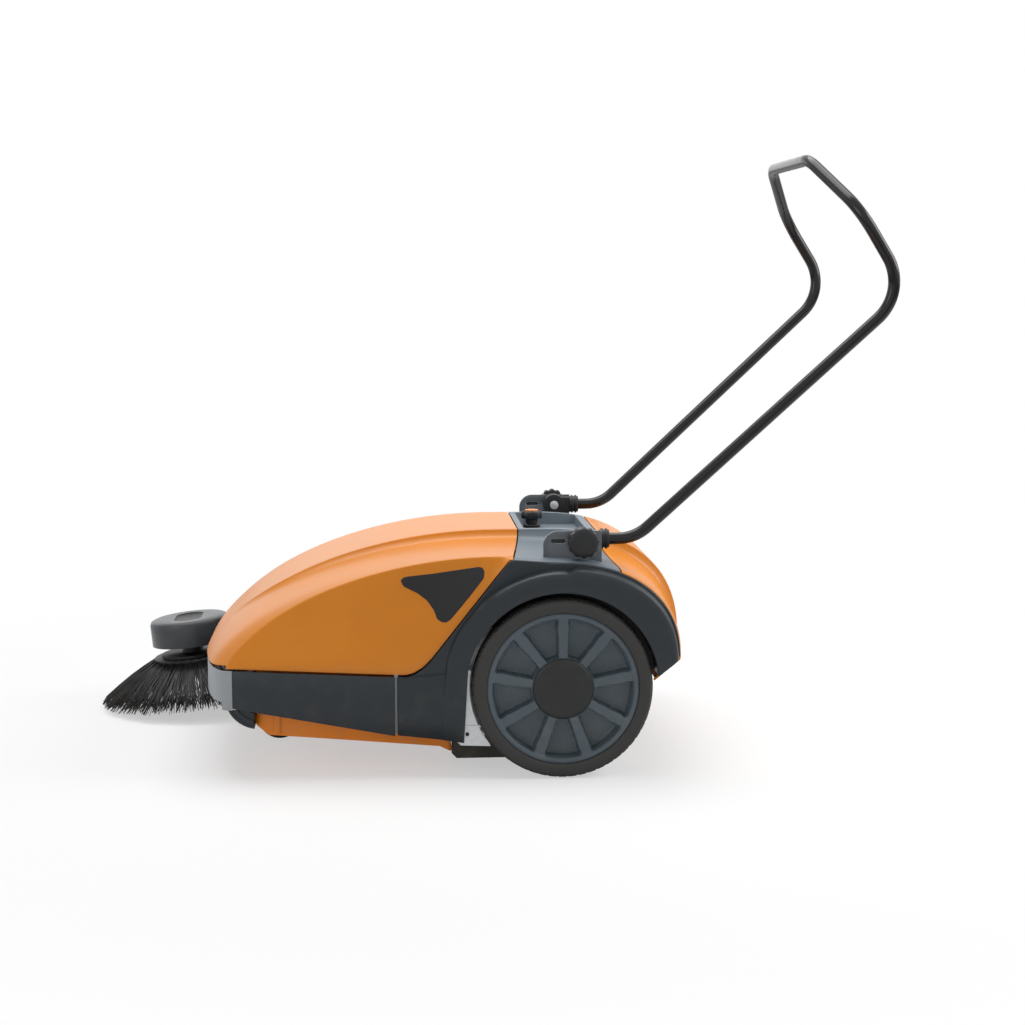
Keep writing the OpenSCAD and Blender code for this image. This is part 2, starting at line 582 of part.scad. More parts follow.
web_y = tyre_y1 - 24;
module rim() {
    turned(0, wheel_z) union() {
      polygon([[rim_r - 17, web_y + 2], [rim_r - 13, tyre_y1 - 3], [rim_r - 11, tyre_y1 - 1],
        [rim_r - 2, tyre_y1 - 1], [rim_r, tyre_y1 - 3], [rim_r, tyre_y0 + 1], [rim_r - 5, tyre_y0 + 1],
        [rim_r - 17, web_y - 2]]);
      ring(hub_cap_r - 6, rim_r - 10, web_y, web_y + 4);
      ring(stub_r + fit, 24, tyre_y0, 309);
      ring(22, hub_cap_r - 5, web_y, web_y + 4);
      polygon([[hub_cap_r - 9, web_y], [hub_cap_r - 9, tyre_y1 - 6], [hub_cap_r + 1, tyre_y1 - 6],
        [hub_cap_r + 4, tyre_y1 - 9], [hub_cap_r + 6, web_y]]);
    }
    slab(web_y + 1, tyre_y1 - 5) translate([0, wheel_z]) for (i = [0 : spoke_count - 1])
      rotate(90 + i * 360 / spoke_count) polygon([[hub_cap_r, -spoke_w / 2], [hub_cap_r, spoke_w / 2],
        [rim_r - 12, spoke_w / 2 + 3], [rim_r - 12, -spoke_w / 2 - 3]]);
}
module rim_left() color(graphite) place() rim();
module rim_right() color(graphite) place() opposite() rim();

module hub_cap() turned(0, wheel_z) polygon(concat(
  [[0, tyre_y1 - 5.7], [hub_cap_r - 0.5, tyre_y1 - 5.7], [hub_cap_r, tyre_y1 - 4]],
  [for (a = [0 : 15 : 90]) [(hub_cap_r - 3) * cos(a) + (a < 90 ? 1 : 0), tyre_y1 - 2.5 + 4.4 * sin(a)]]));
module hub_cap_left() color(rubber_black) place() hub_cap();
module hub_cap_right() color(rubber_black) place() opposite() hub_cap();

// ---------- gears ----------
function inv(a) = tan(a) - a * PI / 180;
function half_tooth(n, rho) = let(r = gear_m * n / 2, rb = r * cos(20))
  90 / n - 0.09 / r * 180 / PI + (inv(20) - inv(acos(min(1, rb / max(rho, rb))))) * 180 / PI;
function gear_points(n) = let(r = gear_m * n / 2, rb = r * cos(20), rr = r - 1.25 * gear_m,
    rt = r + 0.92 * gear_m, lo = max(rb, rr) + 0.05,
    flank = [for (i = [0 : 4]) mix(lo, rt, i / 4)])
  [for (i = [0 : n - 1]) let(c = i * 360 / n) each concat(
    [[rr, c - half_tooth(n, lo)]], [for (q = flank) [q, c - half_tooth(n, q)]],
    [for (j = [4 : -1 : 0]) [flank[j], c + half_tooth(n, flank[j])]], [[rr, c + half_tooth(n, lo)]])];
module gear_face(n) polygon([for (p = gear_points(n)) [p[0] * cos(p[1]), p[0] * sin(p[1])]]);

module wheel_gear(pulley) {
  difference() {
    union() {
      slab(gear_y0, gear_y1) translate([0, wheel_z]) rotate(mesh_angle) gear_face(wheel_teeth);
      rod(0, wheel_z, 30, gear_y1 - 1, tyre_y0 - gap);
      if (pulley) rod(0, wheel_z, big_r + 2.5, gear_y1 + 1, tyre_y0 - gap);
    }
    rod(0, wheel_z, stub_r + fit, gear_y0 - 1, tyre_y0 + 1);
    if (pulley) groove(0, wheel_z, big_r, belt_y);
  }
}
// Belt groove: its floor lies just inside the belt
module groove(x, z, r, y) turned(x, z) polygon([[r - belt_r - 0.4, y - 2], [r - belt_r - 0.4, y + 2],
  [r + 6, y + 4], [r + 6, y - 4]]);
module wheel_gear_left() color(deck_grey) place() wheel_gear(false);
module wheel_gear_right() color(deck_grey) place() opposite() wheel_gear(true);

module pinion() difference() {
  union() {
    slab(gear_y0 + 0.5, gear_y1 - 0.5) translate([roller_x, roller_z])
      rotate(mesh_angle + 180 + 180 / pinion_teeth) gear_face(pinion_teeth);
    rod(roller_x, roller_z, 15, plate_y1 + 0.5, gear_y0 + 1);
  }
  rod(roller_x, roller_z, shaft_r + fit, plate_y1 - 1, gear_y1 + 1);
}
module pinion_left() color(deck_grey) place() pinion();
module pinion_right() color(deck_grey) place() opposite() pinion();

// ---------- roller brush ----------
brush_half = plate_y - 12;
module roller_core() color(zinc) place() {
  rod(roller_x, roller_z, core_r, -brush_half, brush_half);
  rod(roller_x, roller_z, shaft_r, -gear_y1 + 0.3, gear_y1 - 0.3);
  for (s = [0, 1]) mirror([0, s, 0]) rod(roller_x, roller_z, core_r + 6, brush_half, brush_half + 4);
}
// Each half carries rows that sweep towards the middle
module bristle_star() for (i = [0 : row_count - 1]) rotate(i * 360 / row_count)
  polygon([[core_r + 0.2, -7], [roller_r - 2, -5], [roller_r, -2], [roller_r, 2], [roller_r - 2, 5],
    [core_r + 0.2, 7]]);
module roller_bristles() color(rubber_black) place()
  for (s = [0, 1]) mirror([0, s, 0]) translate([roller_x, 0, roller_z]) rotate([90, 0, 0])
    linear_extrude(brush_half - 0.5, twist = 75, slices = 8, $fn = 8) bristle_star();

// ---------- hood hinges ----------
hinge_x = -56;
hinge_z = 386;
hinge_y = 80;
knuckle_r = 4;
pin_r = 2;
module each_hinge() for (y = [-hinge_y, hinge_y]) translate([0, y, 0]) children();
module hinge_leaves() color(zinc) place() each_hinge() difference() {
  union() {
    rod(hinge_x, hinge_z, knuckle_r, -10, 10);
    block(-96, hinge_x, -10, 10, top_z - wall - gap - 3, top_z - wall - gap);
  }
  rod(hinge_x, hinge_z, pin_r + fit, -12, 12);
}
module hinge_base() color(zinc) place() each_hinge() difference() {
  for (s = [-1, 1]) {
    rod(hinge_x, hinge_z, knuckle_r, min(s * 10.3, s * 20), max(s * 10.3, s * 20));
    block(hinge_x + 1.5, -49.8, min(s * 10.3, s * 20), max(s * 10.3, s * 20), 362, hinge_z);
  }
  rod(hinge_x, hinge_z, pin_r + fit, -22, 22);
}
module hinge_pins() color(zinc) place() each_hinge() {
  rod(hinge_x, hinge_z, pin_r, -21, 21);
  for (y = [-22, 20.2]) rod(hinge_x, hinge_z, pin_r + 1.2, y, y + 1.8);
}

// ---------- handle ----------
bolt_r = 4;
ear_z0 = 300;
module handle_bracket() {
  slab(ear_y, ear_y + ear_t) difference() {
    union() {
      translate([ear_x0, ear_z0]) square([ear_x1 - ear_x0, 81]);
      translate([ear_x0 + 24, ear_z0]) square([ear_x1 - ear_x0 - 24, 105]);
      translate([ear_x0 + 24, 381]) circle(r = 24);
    }
    hull() for (x = [-13, 5]) translate([x, clamp_z]) circle(r = 3.5);
    translate([clamp_x, clamp_z]) circle(r = bolt_r + fit);
  }
  for (x = [-10, 50]) rod(x, 318, 8, plate_y1, ear_y);
}
module handle_bracket_left() color(zinc) place() handle_bracket();
module handle_bracket_right() color(zinc) place() opposite() handle_bracket();

jaw_y1 = ear_y - gap;
jaw_y0 = jaw_y1 - jaw_t;
collar_x0 = 66;
collar_x1 = 82;
module along_leg(x, r, h) translate([x, -leg_y, clamp_z + 1]) rotate([0, 90, 0]) cylinder(r = r, h = h);
module handle_jaw() difference() {
  union() {
    rod(clamp_x, clamp_z, 19.5, jaw_y0, jaw_y1);
    block(clamp_x, collar_x0 + 1, -jaw_y1, -jaw_y0, clamp_z - 14, clamp_z + 14);
    // collar over the tube's end, with two ribs
    along_leg(collar_x0, rib_r - 2, 16);
    for (x = [collar_x0 + 3, collar_x0 + 10]) along_leg(x, rib_r, 3);
  }
  rod(clamp_x, clamp_z, bolt_r + fit, jaw_y0 - 1, jaw_y1 + 1);
  along_leg(collar_x0 + 2, tube_r + fit, 20);
}
module handle_jaw_left() color(rubber_black) place() handle_jaw();
module handle_jaw_right() color(rubber_black) place() opposite() handle_jaw();

module handle_bolts() color(zinc) place() for (s = [0, 1]) mirror([0, s, 0]) {
  rod(clamp_x, clamp_z, bolt_r, jaw_y0 - 4, ear_y + 20);
  rod(clamp_x, clamp_z, 8, jaw_y0 - 5, jaw_y0 - gap);
}

knob_y0 = ear_y + ear_t + gap;
module scallops(r, n, lobe) union() {
  circle(r = r - lobe * 0.55);
  for (i = [0 : n - 1]) rotate(i * 360 / n) translate([r - lobe, 0]) circle(r = lobe);
}
module clamp_knob() difference() {
  union() {
    intersection() {
      slab(knob_y0 + 8, knob_y0 + 29) translate([clamp_x, clamp_z]) scallops(knob_r, 12, 5);
      turned(clamp_x, clamp_z) polygon([[0, knob_y0 + 8], [knob_r - 2, knob_y0 + 8],
        [knob_r, knob_y0 + 10], [knob_r, knob_y0 + 22], [knob_r - 3, knob_y0 + 26],
        [knob_r - 9, knob_y0 + 28], [0, knob_y0 + 29]]);
    }
    rod(clamp_x, clamp_z, 11, knob_y0, knob_y0 + 9);
  }
  rod(clamp_x, clamp_z, bolt_r + fit, knob_y0 - 1, knob_y0 + 20);
}
module clamp_knob_left() color(rubber_black) place() clamp_knob();
module clamp_knob_right() color(rubber_black) place() opposite() clamp_knob();

// Round tube through corner points P, each rounded with its own radius from R
function unit(v) = v / norm(v);
function turn_angle(a, b) = acos(max(-1, min(1, a * b)));
// Each piece stops a hair short of its neighbour; a plug inside joins the two
hair = 0.02;
module tube_section(r, bore) difference() {
  circle(r = r);
  if (bore > 0) circle(r = bore);
}
module aim(p, d) translate(p) rotate([0, acos(d[2]), atan2(d[1], d[0])]) children();
module tube_run(p, q, r, bore) aim(p, unit(q - p)) translate([0, 0, hair])
  linear_extrude(norm(q - p) - 2 * hair) tube_section(r, bore);
module plug(p, d, r, bore) aim(p, d) translate([0, 0, -1]) linear_extrude(2)
  tube_section(mix(bore, r, 0.6), bore > 0 ? bore - 0.8 : 0);
module tube_bend(p, a, b, bend, r, bore) {
  u = unit(b - a);
  c = p + u * bend / cos(turn_angle(a, b) / 2);
  s = unit(p - a * bend * tan(turn_angle(a, b) / 2) - c);
  n = cross(s, a);
  multmatrix([[s[0], a[0], n[0], c[0]], [s[1], a[1], n[1], c[1]], [s[2], a[2], n[2], c[2]]])
    rotate_extrude(angle = turn_angle(a, b)) translate([bend, 0]) tube_section(r, bore);
}
module bent_tube(P, R, r, bore) {
  last = len(P) - 1;
  dirs = [for (i = [0 : last - 1]) unit(P[i + 1] - P[i])];
  cut = [0, for (i = [1 : last - 1]) R[i] * tan(turn_angle(dirs[i - 1], dirs[i]) / 2), 0];
  for (i = [0 : last - 1]) tube_run(P[i] + dirs[i] * cut[i], P[i + 1] - dirs[i] * cut[i + 1], r, bore);
  for (i = [1 : last - 1]) {
    tube_bend(P[i], dirs[i - 1], dirs[i], R[i], r, bore);
    plug(P[i] - dirs[i - 1] * cut[i], dirs[i - 1], r, bore);
    plug(P[i] + dirs[i] * cut[i], dirs[i], r, bore);
  }
}
handle_half = [[collar_x0 + 2.3, -leg_y, clamp_z + 1], [126, -leg_y, clamp_z + 1],
  [knee_x + 23, -knee_y - 1, knee_z - 17], [487, -knee_y - 3, 930], [bar_x + 4, -bar_y - 2, bar_z]];
handle_radii = [0, 72, 80, 60, 38];
module handle_tube() color(rubber_black) place() bent_tube(
  concat(handle_half, [for (p = reversed(handle_half)) [p[0], -p[1], p[2]]]),
  concat(handle_radii, reversed(handle_radii)), tube_r, tube_r - tube_wall);

// ---------- brush height knob ----------
module adjuster_knob() color(rubber_black) place() translate([adjust_x, adjust_y, 0]) {
  difference() {
    translate([0, 0, trough_z + pad_h + gap]) linear_extrude(29) scallops(star_r, 6, 6.5);
    translate([0, 0, trough_z + 27]) cylinder(r = 12, h = 10);
  }
  translate([0, 0, trough_z - 23]) cylinder(r = 5, h = 26);
  translate([0, 0, trough_z - wall - 3 - gap]) cylinder(r = 8, h = 3);
}
module adjuster_cap() color(orange) place() translate([adjust_x, adjust_y, trough_z + 27])
  cylinder(r = 11.9, h = 5);

// ---------- side-brush arm and its belts ----------
bracket_y0 = belt_y - 18;
bracket_y1 = belt_y + 25.5;
module right_rod(x, z, r, y0, y1) rod(x, z, r, -y1, -y0);
module arm_bracket() color(zinc) place() {
  block(beam_x0 + 3, beam_x1 - 3, bracket_y0, bracket_y1, beam_z1, beam_z1 + 2);
  for (y = [bracket_y0, bracket_y1 - 4]) {
    block(pivot_x - 8, pivot_x + 8, y, y + 4, beam_z1, pivot_z);
    right_rod(pivot_x, pivot_z, 8, y, y + 4);
  }
  right_rod(pivot_x, pivot_z, 5, bracket_y0, bracket_y1);
}
module layshaft_pulley() color(deck_grey) place() difference() {
  right_rod(pivot_x, pivot_z, small_r + belt_r, 255, 276);
  right_rod(pivot_x, pivot_z, 5 + fit, 254, 277);
  for (y = [belt_y, cross_y]) opposite() groove(pivot_x, pivot_z, small_r, y);
}

// Round belt about a line along Y: an arc from angle a over b degrees
module belt_arc(x, z, r, y, a, b) translate([x, y, z]) rotate([90, 0, 0]) rotate([0, 0, a])
  rotate_extrude(angle = b) translate([r, 0]) circle(r = belt_r);
module belt_run(p, q) {
  tube_run(p, q, belt_r, 0);
  for (e = [p, q]) plug(e, unit(q - p), belt_r, 0);
}
module long_belt() color(rubber_black) place() {
  d = [pivot_x, pivot_z - wheel_z];
  lean = atan2(d[1], d[0]);
  g = acos((big_r - small_r) / norm(d));
  belt_arc(0, wheel_z, big_r, belt_y, lean + g, 360 - 2 * g);
  belt_arc(pivot_x, pivot_z, small_r, belt_y, lean - g, 2 * g);
  for (a = [lean - g, lean + g]) belt_run([big_r * cos(a), belt_y, wheel_z + big_r * sin(a)],
    [pivot_x + small_r * cos(a), belt_y, pivot_z + small_r * sin(a)]);
}

// The side brush leans forward; its own frame starts at the cap's top centre
module tilted() translate([side_x, side_y, cap_top_z]) rotate([0, -side_tilt, 0]) children();
function tilt_point(p) = [side_x + p[0] * cos(side_tilt) - p[2] * sin(side_tilt), side_y + p[1],
  cap_top_z + p[0] * sin(side_tilt) + p[2] * cos(side_tilt)];
module cross_belt() color(rubber_black) place() {
  belt_arc(pivot_x, pivot_z, small_r, cross_y, -90 + side_tilt, 180 - side_tilt);
  belt_run([pivot_x + small_r * sin(side_tilt), cross_y, pivot_z - small_r * cos(side_tilt)],
    tilt_point([0, -head_r, head_z]));
  // the slack run crosses over on its way back
  slack = [[pivot_x, cross_y, pivot_z + small_r], [pivot_x - 14, cross_y, pivot_z + small_r],
    tilt_point([16, head_r, head_z]), tilt_point([0, head_r, head_z])];
  bent_tube(slack, [0, 20, 20, 0], belt_r, 0);
  plug(slack[0], [-1, 0, 0], belt_r, 0);
  plug(slack[3], unit(slack[2] - slack[3]), belt_r, 0);
  tilted() translate([0, 0, head_z]) rotate([0, 0, 90]) rotate_extrude(angle = 180)
    translate([head_r, 0]) circle(r = belt_r);
}

module side_brush_arm() color(deck_grey) place() difference() {
  union() {
    tilted() difference() {
      union() {
        difference() {
          rotate_extrude($fn = 96) polygon([[0, -cap_h], [cap_r, -cap_h], [cap_r, -8],
            [cap_r - 2.5, -2.5], [cap_r - 8, 0], [0, 0]]);
          translate([0, 0, -cap_h - 1]) cylinder(r = cap_r - wall, h = cap_h + 1 - wall - 3);
          // oval hand recess in the top
          translate([0, 0, -3]) linear_extrude(4) hull() for (y = [-20, 20]) translate([0, y])
            circle(r = 26);
        }
        translate([0, 0, -31]) cylinder(r = 11, h = 26);
      }
      translate([0, 0, -32]) cylinder(r = 6 + fit, h = 26.5);
      // belts enter through the rear of the rim
      translate([40, -24, -cap_h - 1]) cube([60, 40, cap_h - 14]);
    }
    block(side_x + cap_r - 6, pivot_x - 14, 249, 283, 165, 168);
    block(side_x + cap_r - 4, pivot_x - 14, 249, 254, 143, 168);
    for (y = [249, 278.2]) hull() {
      right_rod(pivot_x, pivot_z, 9, y, y + (y < 260 ? 5 : 4.8));
      block(pivot_x - 26, pivot_x - 16, y, y + (y < 260 ? 5 : 4.8), 164, 168);
    }
  }
  right_rod(pivot_x, pivot_z, 5 + fit, 240, 290);
  // slot for the slack run of the belt
  block(pivot_x - 34, pivot_x - 13, cross_y - 6, 278.2, 160, 170);
}

plate_depth = -72;
module side_brush_head() color(rubber_black) place() tilted() {
  difference() {
    union() {
      translate([0, 0, plate_depth]) cylinder(r = 60, h = 5);
      translate([0, 0, plate_depth]) cylinder(r = 20, h = head_z - 6 - plate_depth);
      translate([0, 0, head_z - 6]) cylinder(r = head_r + 3, h = 10);
    }
    translate([0, 0, head_z]) rotate_extrude() polygon([[head_r - belt_r - 0.4, -2],
      [head_r - belt_r - 0.4, 2], [head_r + 6, 4], [head_r + 6, -4]]);
  }
  translate([0, 0, plate_depth]) cylinder(r = 6, h = -plate_depth - 6);
}
module side_brush_bristles() color(rubber_black) place() tilted() {
  translate([0, 0, plate_depth - 8]) difference() {
    cylinder(r = 58, h = 8);
    translate([0, 0, -1]) cylinder(r = 46, h = 10);
  }
  reach = side_r - 3 - 52;
  drop = tip_depth + plate_depth - 2;
  for (i = [0 : tuft_count - 1]) rotate([0, 0, i * 360 / tuft_count]) translate([52, 0, plate_depth - 4])
    rotate([0, 90 + atan2(drop - 4, reach), 0]) cylinder(r1 = 5, r2 = 4, h = norm([reach, drop - 4]));
}

// ---------- castor ----------
crown_z = beam_z0 - gap;
module castor_fork() color(zinc) place() {
  translate([swivel_x, 0, crown_z - 6]) cylinder(r = 19, h = 6);
  translate([swivel_x, 0, crown_z - 1]) cylinder(r = 6, h = 10);
  translate([swivel_x, 0, beam_z0 + 4 + gap]) cylinder(r = 10, h = 5);
  for (s = [0, 1]) mirror([0, s, 0]) difference() {
    hull() {
      rod(castor_x, castor_r, 9, castor_w / 2 + 1, castor_w / 2 + 4);
      block(swivel_x - 12, swivel_x + 16, -castor_w / 2 - 4, -castor_w / 2 - 1, crown_z - 6, crown_z - 3);
    }
    rod(castor_x, castor_r, 4 + 0.01, 0, 20);
  }
}
module castor_axle() color(zinc) place() {
  rod(castor_x, castor_r, 4, -castor_w / 2 - 5, castor_w / 2 + 5);
  for (y = [-castor_w / 2 - 7, castor_w / 2 + 4.2]) rod(castor_x, castor_r, 7, y, y + 2.8);
}
module castor_wheel() color(rubber_black) place() difference() {
  turned(castor_x, castor_r) polygon([[4 + fit, -castor_w / 2], [castor_r - 4, -castor_w / 2],
    [castor_r, -castor_w / 2 + 5], [castor_r, castor_w / 2 - 5], [castor_r - 4, castor_w / 2],
    [4 + fit, castor_w / 2]]);
  for (s = [0, 1]) mirror([0, s, 0]) turned(castor_x, castor_r)
    ring(9, castor_r - 9, castor_w / 2 - 5, castor_w / 2 + 1);
}

// ---------- screw heads ----------
module chassis_screws() color(zinc) place() {
  for (s = [0, 1], x = [-135, 20, 90]) mirror([0, s, 0])
    rod(x, plate_z + 8.5, 5, plate_y1 + flap_t + 1.5, plate_y1 + flap_t + 3.5);
  for (s = [0, 1], x = [-284, -268]) mirror([0, s, 0]) rod(x, 128, 5, rail_y1, rail_y1 + 2);
}

hood();
hinge_leaves();
deck();
rear_cover();
fender_left();
fender_right();
skirt_left();
skirt_right();
front_bumper();
apron();
hopper();
side_plate_left();
side_plate_right();
frame_rail_left();
frame_rail_right();
front_crossmember();
rear_crossmember();
brush_tunnel();
side_flap_left();
side_flap_right();
rear_flap();
flap_clamps();
stub_axles();
brush_bearings();
hinge_base();
hinge_pins();
handle_bracket_left();
handle_bracket_right();
handle_bolts();
handle_tube();
handle_jaw_left();
handle_jaw_right();
clamp_knob_left();
clamp_knob_right();
adjuster_knob();
adjuster_cap();
tyre_left();
rim_left();
hub_cap_left();
wheel_gear_left();
tyre_right();
rim_right();
hub_cap_right();
wheel_gear_right();
pinion_left();
pinion_right();
roller_core();
roller_bristles();
arm_bracket();
long_belt();
layshaft_pulley();
side_brush_arm();
cross_belt();
side_brush_head();
side_brush_bristles();
castor_fork();
castor_axle();
castor_wheel();
chassis_screws();
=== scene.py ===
"""Dresses the walk-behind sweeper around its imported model.

The classes below follow the machine's own sub-assemblies. Each one holds its sizes, builds the
meshes that the plain solids lack, such as smooth mouldings, bristles and badge plates, and gives
every solid it owns its finish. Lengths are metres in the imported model's frame.
"""

from __future__ import annotations

import logging
import math
import random
from dataclasses import dataclass, field
from enum import Enum
from typing import Any, Callable, Sequence

import bmesh
import bpy
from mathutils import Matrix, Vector
from mathutils.bvhtree import BVHTree


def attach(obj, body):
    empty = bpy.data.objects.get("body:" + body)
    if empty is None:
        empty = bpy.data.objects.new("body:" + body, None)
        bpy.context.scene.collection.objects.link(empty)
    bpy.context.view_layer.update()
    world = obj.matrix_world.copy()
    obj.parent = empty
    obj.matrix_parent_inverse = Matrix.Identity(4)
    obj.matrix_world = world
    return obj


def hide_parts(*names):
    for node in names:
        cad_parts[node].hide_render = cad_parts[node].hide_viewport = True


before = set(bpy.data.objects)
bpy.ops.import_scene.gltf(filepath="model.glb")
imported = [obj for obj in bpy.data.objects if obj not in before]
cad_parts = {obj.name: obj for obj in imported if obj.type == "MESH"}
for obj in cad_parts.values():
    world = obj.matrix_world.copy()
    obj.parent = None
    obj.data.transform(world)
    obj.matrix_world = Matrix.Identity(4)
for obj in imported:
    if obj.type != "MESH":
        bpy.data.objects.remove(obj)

LOG = logging.getLogger("sweeper")
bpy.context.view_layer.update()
MM = 0.001
UP = Vector((0.0, 0.0, 1.0))
WELD_GAP = 0.00001
PLATE_ROUND = 0.0003
SOLID_TURN = 40.0

# Numbers of the body shell's main lines, from the middle outwards
RIDGE = 3
SHOULDER = 9
FOOT = 11

# The drawing's own datum: the drive axle's line on the middle plane, measured from the frame's origin
SHIFT_X = 139.523
SHIFT_Y = -73.5

Point = tuple[float, float, float]
Colour = tuple[float, float, float, float]
WHITE: Colour = (1.0, 1.0, 1.0, 1.0)


def at(x: float, y: float, z: float) -> Vector:
    """Return a point of the axle datum, in millimetres, as a point of the frame in metres."""
    return Vector(((x + SHIFT_X) * MM, (y + SHIFT_Y) * MM, z * MM))


def linear(red: float, green: float, blue: float) -> Colour:
    """Return a display colour, 0 to 255 a channel, as a linear colour with full alpha."""

    def channel(value: float) -> float:
        """Return one channel in linear light."""
        share = value / 255.0
        return share / 12.92 if share <= 0.04045 else ((share + 0.055) / 1.055) ** 2.4

    return channel(red), channel(green), channel(blue), 1.0


def mix(a: float, b: float, t: float) -> float:
    """Return the value a share t of the way from a to b."""
    return a + (b - a) * t


def shaded(colour: Colour, factor: float) -> Colour:
    """Return a colour made darker or paler by a factor, with full alpha."""
    return tuple(min(1.0, c * factor) for c in colour[:3]) + (1.0,)


def ring(count: int, start: float = 0.0) -> list[float]:
    """Return evenly spaced angles of a whole turn in radians, from a share of the first step."""
    return [2 * math.pi * (i + start) / count for i in range(count)]


def clamp01(t: float) -> float:
    """Return t held between 0 and 1."""
    return max(0.0, min(1.0, t))


def smooth(t: float) -> float:
    """Return t eased in and out between 0 and 1."""
    c = clamp01(t)
    return c * c * (3 - 2 * c)


# ---------------------------------------------------------------------------
# Shader maths
# ---------------------------------------------------------------------------


class Value:
    """A number in a node tree. Arithmetic on it adds Math nodes."""

    def __init__(self, graph: "Graph", socket: bpy.types.NodeSocket) -> None:
        """Wrap an output socket of a graph."""
        self.graph = graph
        self.socket = socket

    def _math(self, operation: str, *operands: "Value | float") -> "Value":
        """Add one Math node.

        Args:
            operation: The Math node's operation.
            *operands: Its inputs in order.

        Returns:
            The node's result.
        """
        inputs = {i: operand for i, operand in enumerate(operands)}
        return self.graph.value("ShaderNodeMath", {"operation": operation}, inputs)

    def __add__(self, other: "Value | float") -> "Value":
        """Return the sum."""
        return self._math("ADD", self, other)

    __radd__ = __add__

    def __sub__(self, other: "Value | float") -> "Value":
        """Return the difference."""
        return self._math("SUBTRACT", self, other)

    def __rsub__(self, other: float) -> "Value":
        """Return the difference from a number."""
        return self._math("SUBTRACT", other, self)

    def __mul__(self, other: "Value | float") -> "Value":
        """Return the product."""
        return self._math("MULTIPLY", self, other)

    __rmul__ = __mul__

    def ease(self, low: float, high: float) -> "Value":
        """Return 0 below low, 1 above high and an eased ramp between them."""
        settings = {"interpolation_type": "SMOOTHSTEP"}
        return self.graph.value("ShaderNodeMapRange", settings, {0: self, 1: low, 2: high})


class Graph:
    """A node tree. Its nodes all come from one method."""

    def __init__(self, owner: bpy.types.Material | bpy.types.World) -> None:
        """Start with an empty tree."""
        owner.use_nodes = True
        self.tree = owner.node_tree
        self.tree.nodes.clear()

    def node(
        self, kind: str, settings: dict[str, Any] | None = None, inputs: dict[int | str, Any] | None = None
    ) -> bpy.types.Node:
        """Add a node.

        Args:
            kind: The node's type.
            settings: Its properties; "stops" gives a colour ramp's stops as (place, colour) pairs.
            inputs: Its inputs by name or number, each a value, a Value or a socket.

        Returns:
            The new node.
        """
        made = self.tree.nodes.new(kind)
        for key, setting in (settings or {}).items():
            if key == "stops":
                self._set_stops(made, setting)
            else:
                setattr(made, key, setting)
        for key, given in (inputs or {}).items():
            self.feed(made.inputs[key], given)
        return made

    @staticmethod
    def _set_stops(ramp: bpy.types.Node, stops: Sequence[tuple[float, Sequence[float]]]) -> None:
        """Give a colour ramp its stops."""
        elements = ramp.color_ramp.elements
        while len(elements) < len(stops):
            elements.new(0.5)
        for element, (place, colour) in zip(elements, stops):
            element.position = place
            element.color = colour

    def feed(self, socket: bpy.types.NodeSocket, given: Any) -> None:
        """Link a Value or a socket to an input, or set the input's own value."""
        if isinstance(given, Value):
            self.tree.links.new(given.socket, socket)
        elif isinstance(given, bpy.types.NodeSocket):
            self.tree.links.new(given, socket)
        else:
            socket.default_value = given

    def value(
        self, kind: str, settings: dict[str, Any] | None = None, inputs: dict[int | str, Any] | None = None,
        output: int | str = 0,
    ) -> Value:
        """Add a node and return one of its outputs as a Value."""
        return Value(self, self.node(kind, settings, inputs).outputs[output])

    def position(self) -> bpy.types.NodeSocket:
        """Return the object coordinates, which stay with a piece when it moves."""
        return self.node("ShaderNodeTexCoord").outputs["Object"]

    def stretched(self, scale: Point) -> bpy.types.NodeSocket:
        """Return the object coordinates scaled by axis."""
        mapping = self.node("ShaderNodeMapping", None, {"Vector": self.position(), "Scale": scale})
        return mapping.outputs[0]

    def noise(self, scale: float, detail: float = 2.0, stretch: Point | None = None) -> Value:
        """Return a noise pattern.

        Args:
            scale: Its cells to the metre.
            detail: Its octaves.
            stretch: Factors by axis, for a pattern that runs along one of them.

        Returns:
            The pattern, centred on one half.
        """
        place = self.stretched(stretch) if stretch else self.position()
        return self.value("ShaderNodeTexNoise", None, {"Vector": place, "Scale": scale, "Detail": detail})

    def height(self) -> Value:
        """Return the height over the floor in the piece's rest place."""
        return self.value("ShaderNodeSeparateXYZ", None, {0: self.position()}, 2)

    def blend(self, share: Value | float, low: Any, high: Any) -> bpy.types.NodeSocket:
        """Return a colour between two colours."""
        made = self.node("ShaderNodeMix", {"data_type": "RGBA"}, {0: share, 6: low, 7: high})
        return made.outputs[2]


class Surface(Graph):
    """The node tree of one material, with a Principled shader at its end."""

    def __init__(self, name: str) -> None:
        """Start a plain material."""
        self.material = bpy.data.materials.new(name)
        super().__init__(self.material)
        self.output = self.node("ShaderNodeOutputMaterial")
        self.shader = self.node("ShaderNodeBsdfPrincipled")
        self.feed(self.output.inputs[0], self.shader.outputs[0])

    def bump(self, height: Value, depth: float) -> None:
        """Feed the shader's normal from a height pattern whose full range is depth metres."""
        made = self.node("ShaderNodeBump", None, {"Height": height, "Distance": depth})
        self.feed(self.shader.inputs["Normal"], made.outputs[0])

    def set(self, **sockets: Any) -> None:
        """Set or link sockets of the shader; an underscore in a name stands for a space."""
        for name, given in sockets.items():
            self.feed(self.shader.inputs[name.replace("_", " ")], given)


# ---------------------------------------------------------------------------
# Finishes
# ---------------------------------------------------------------------------


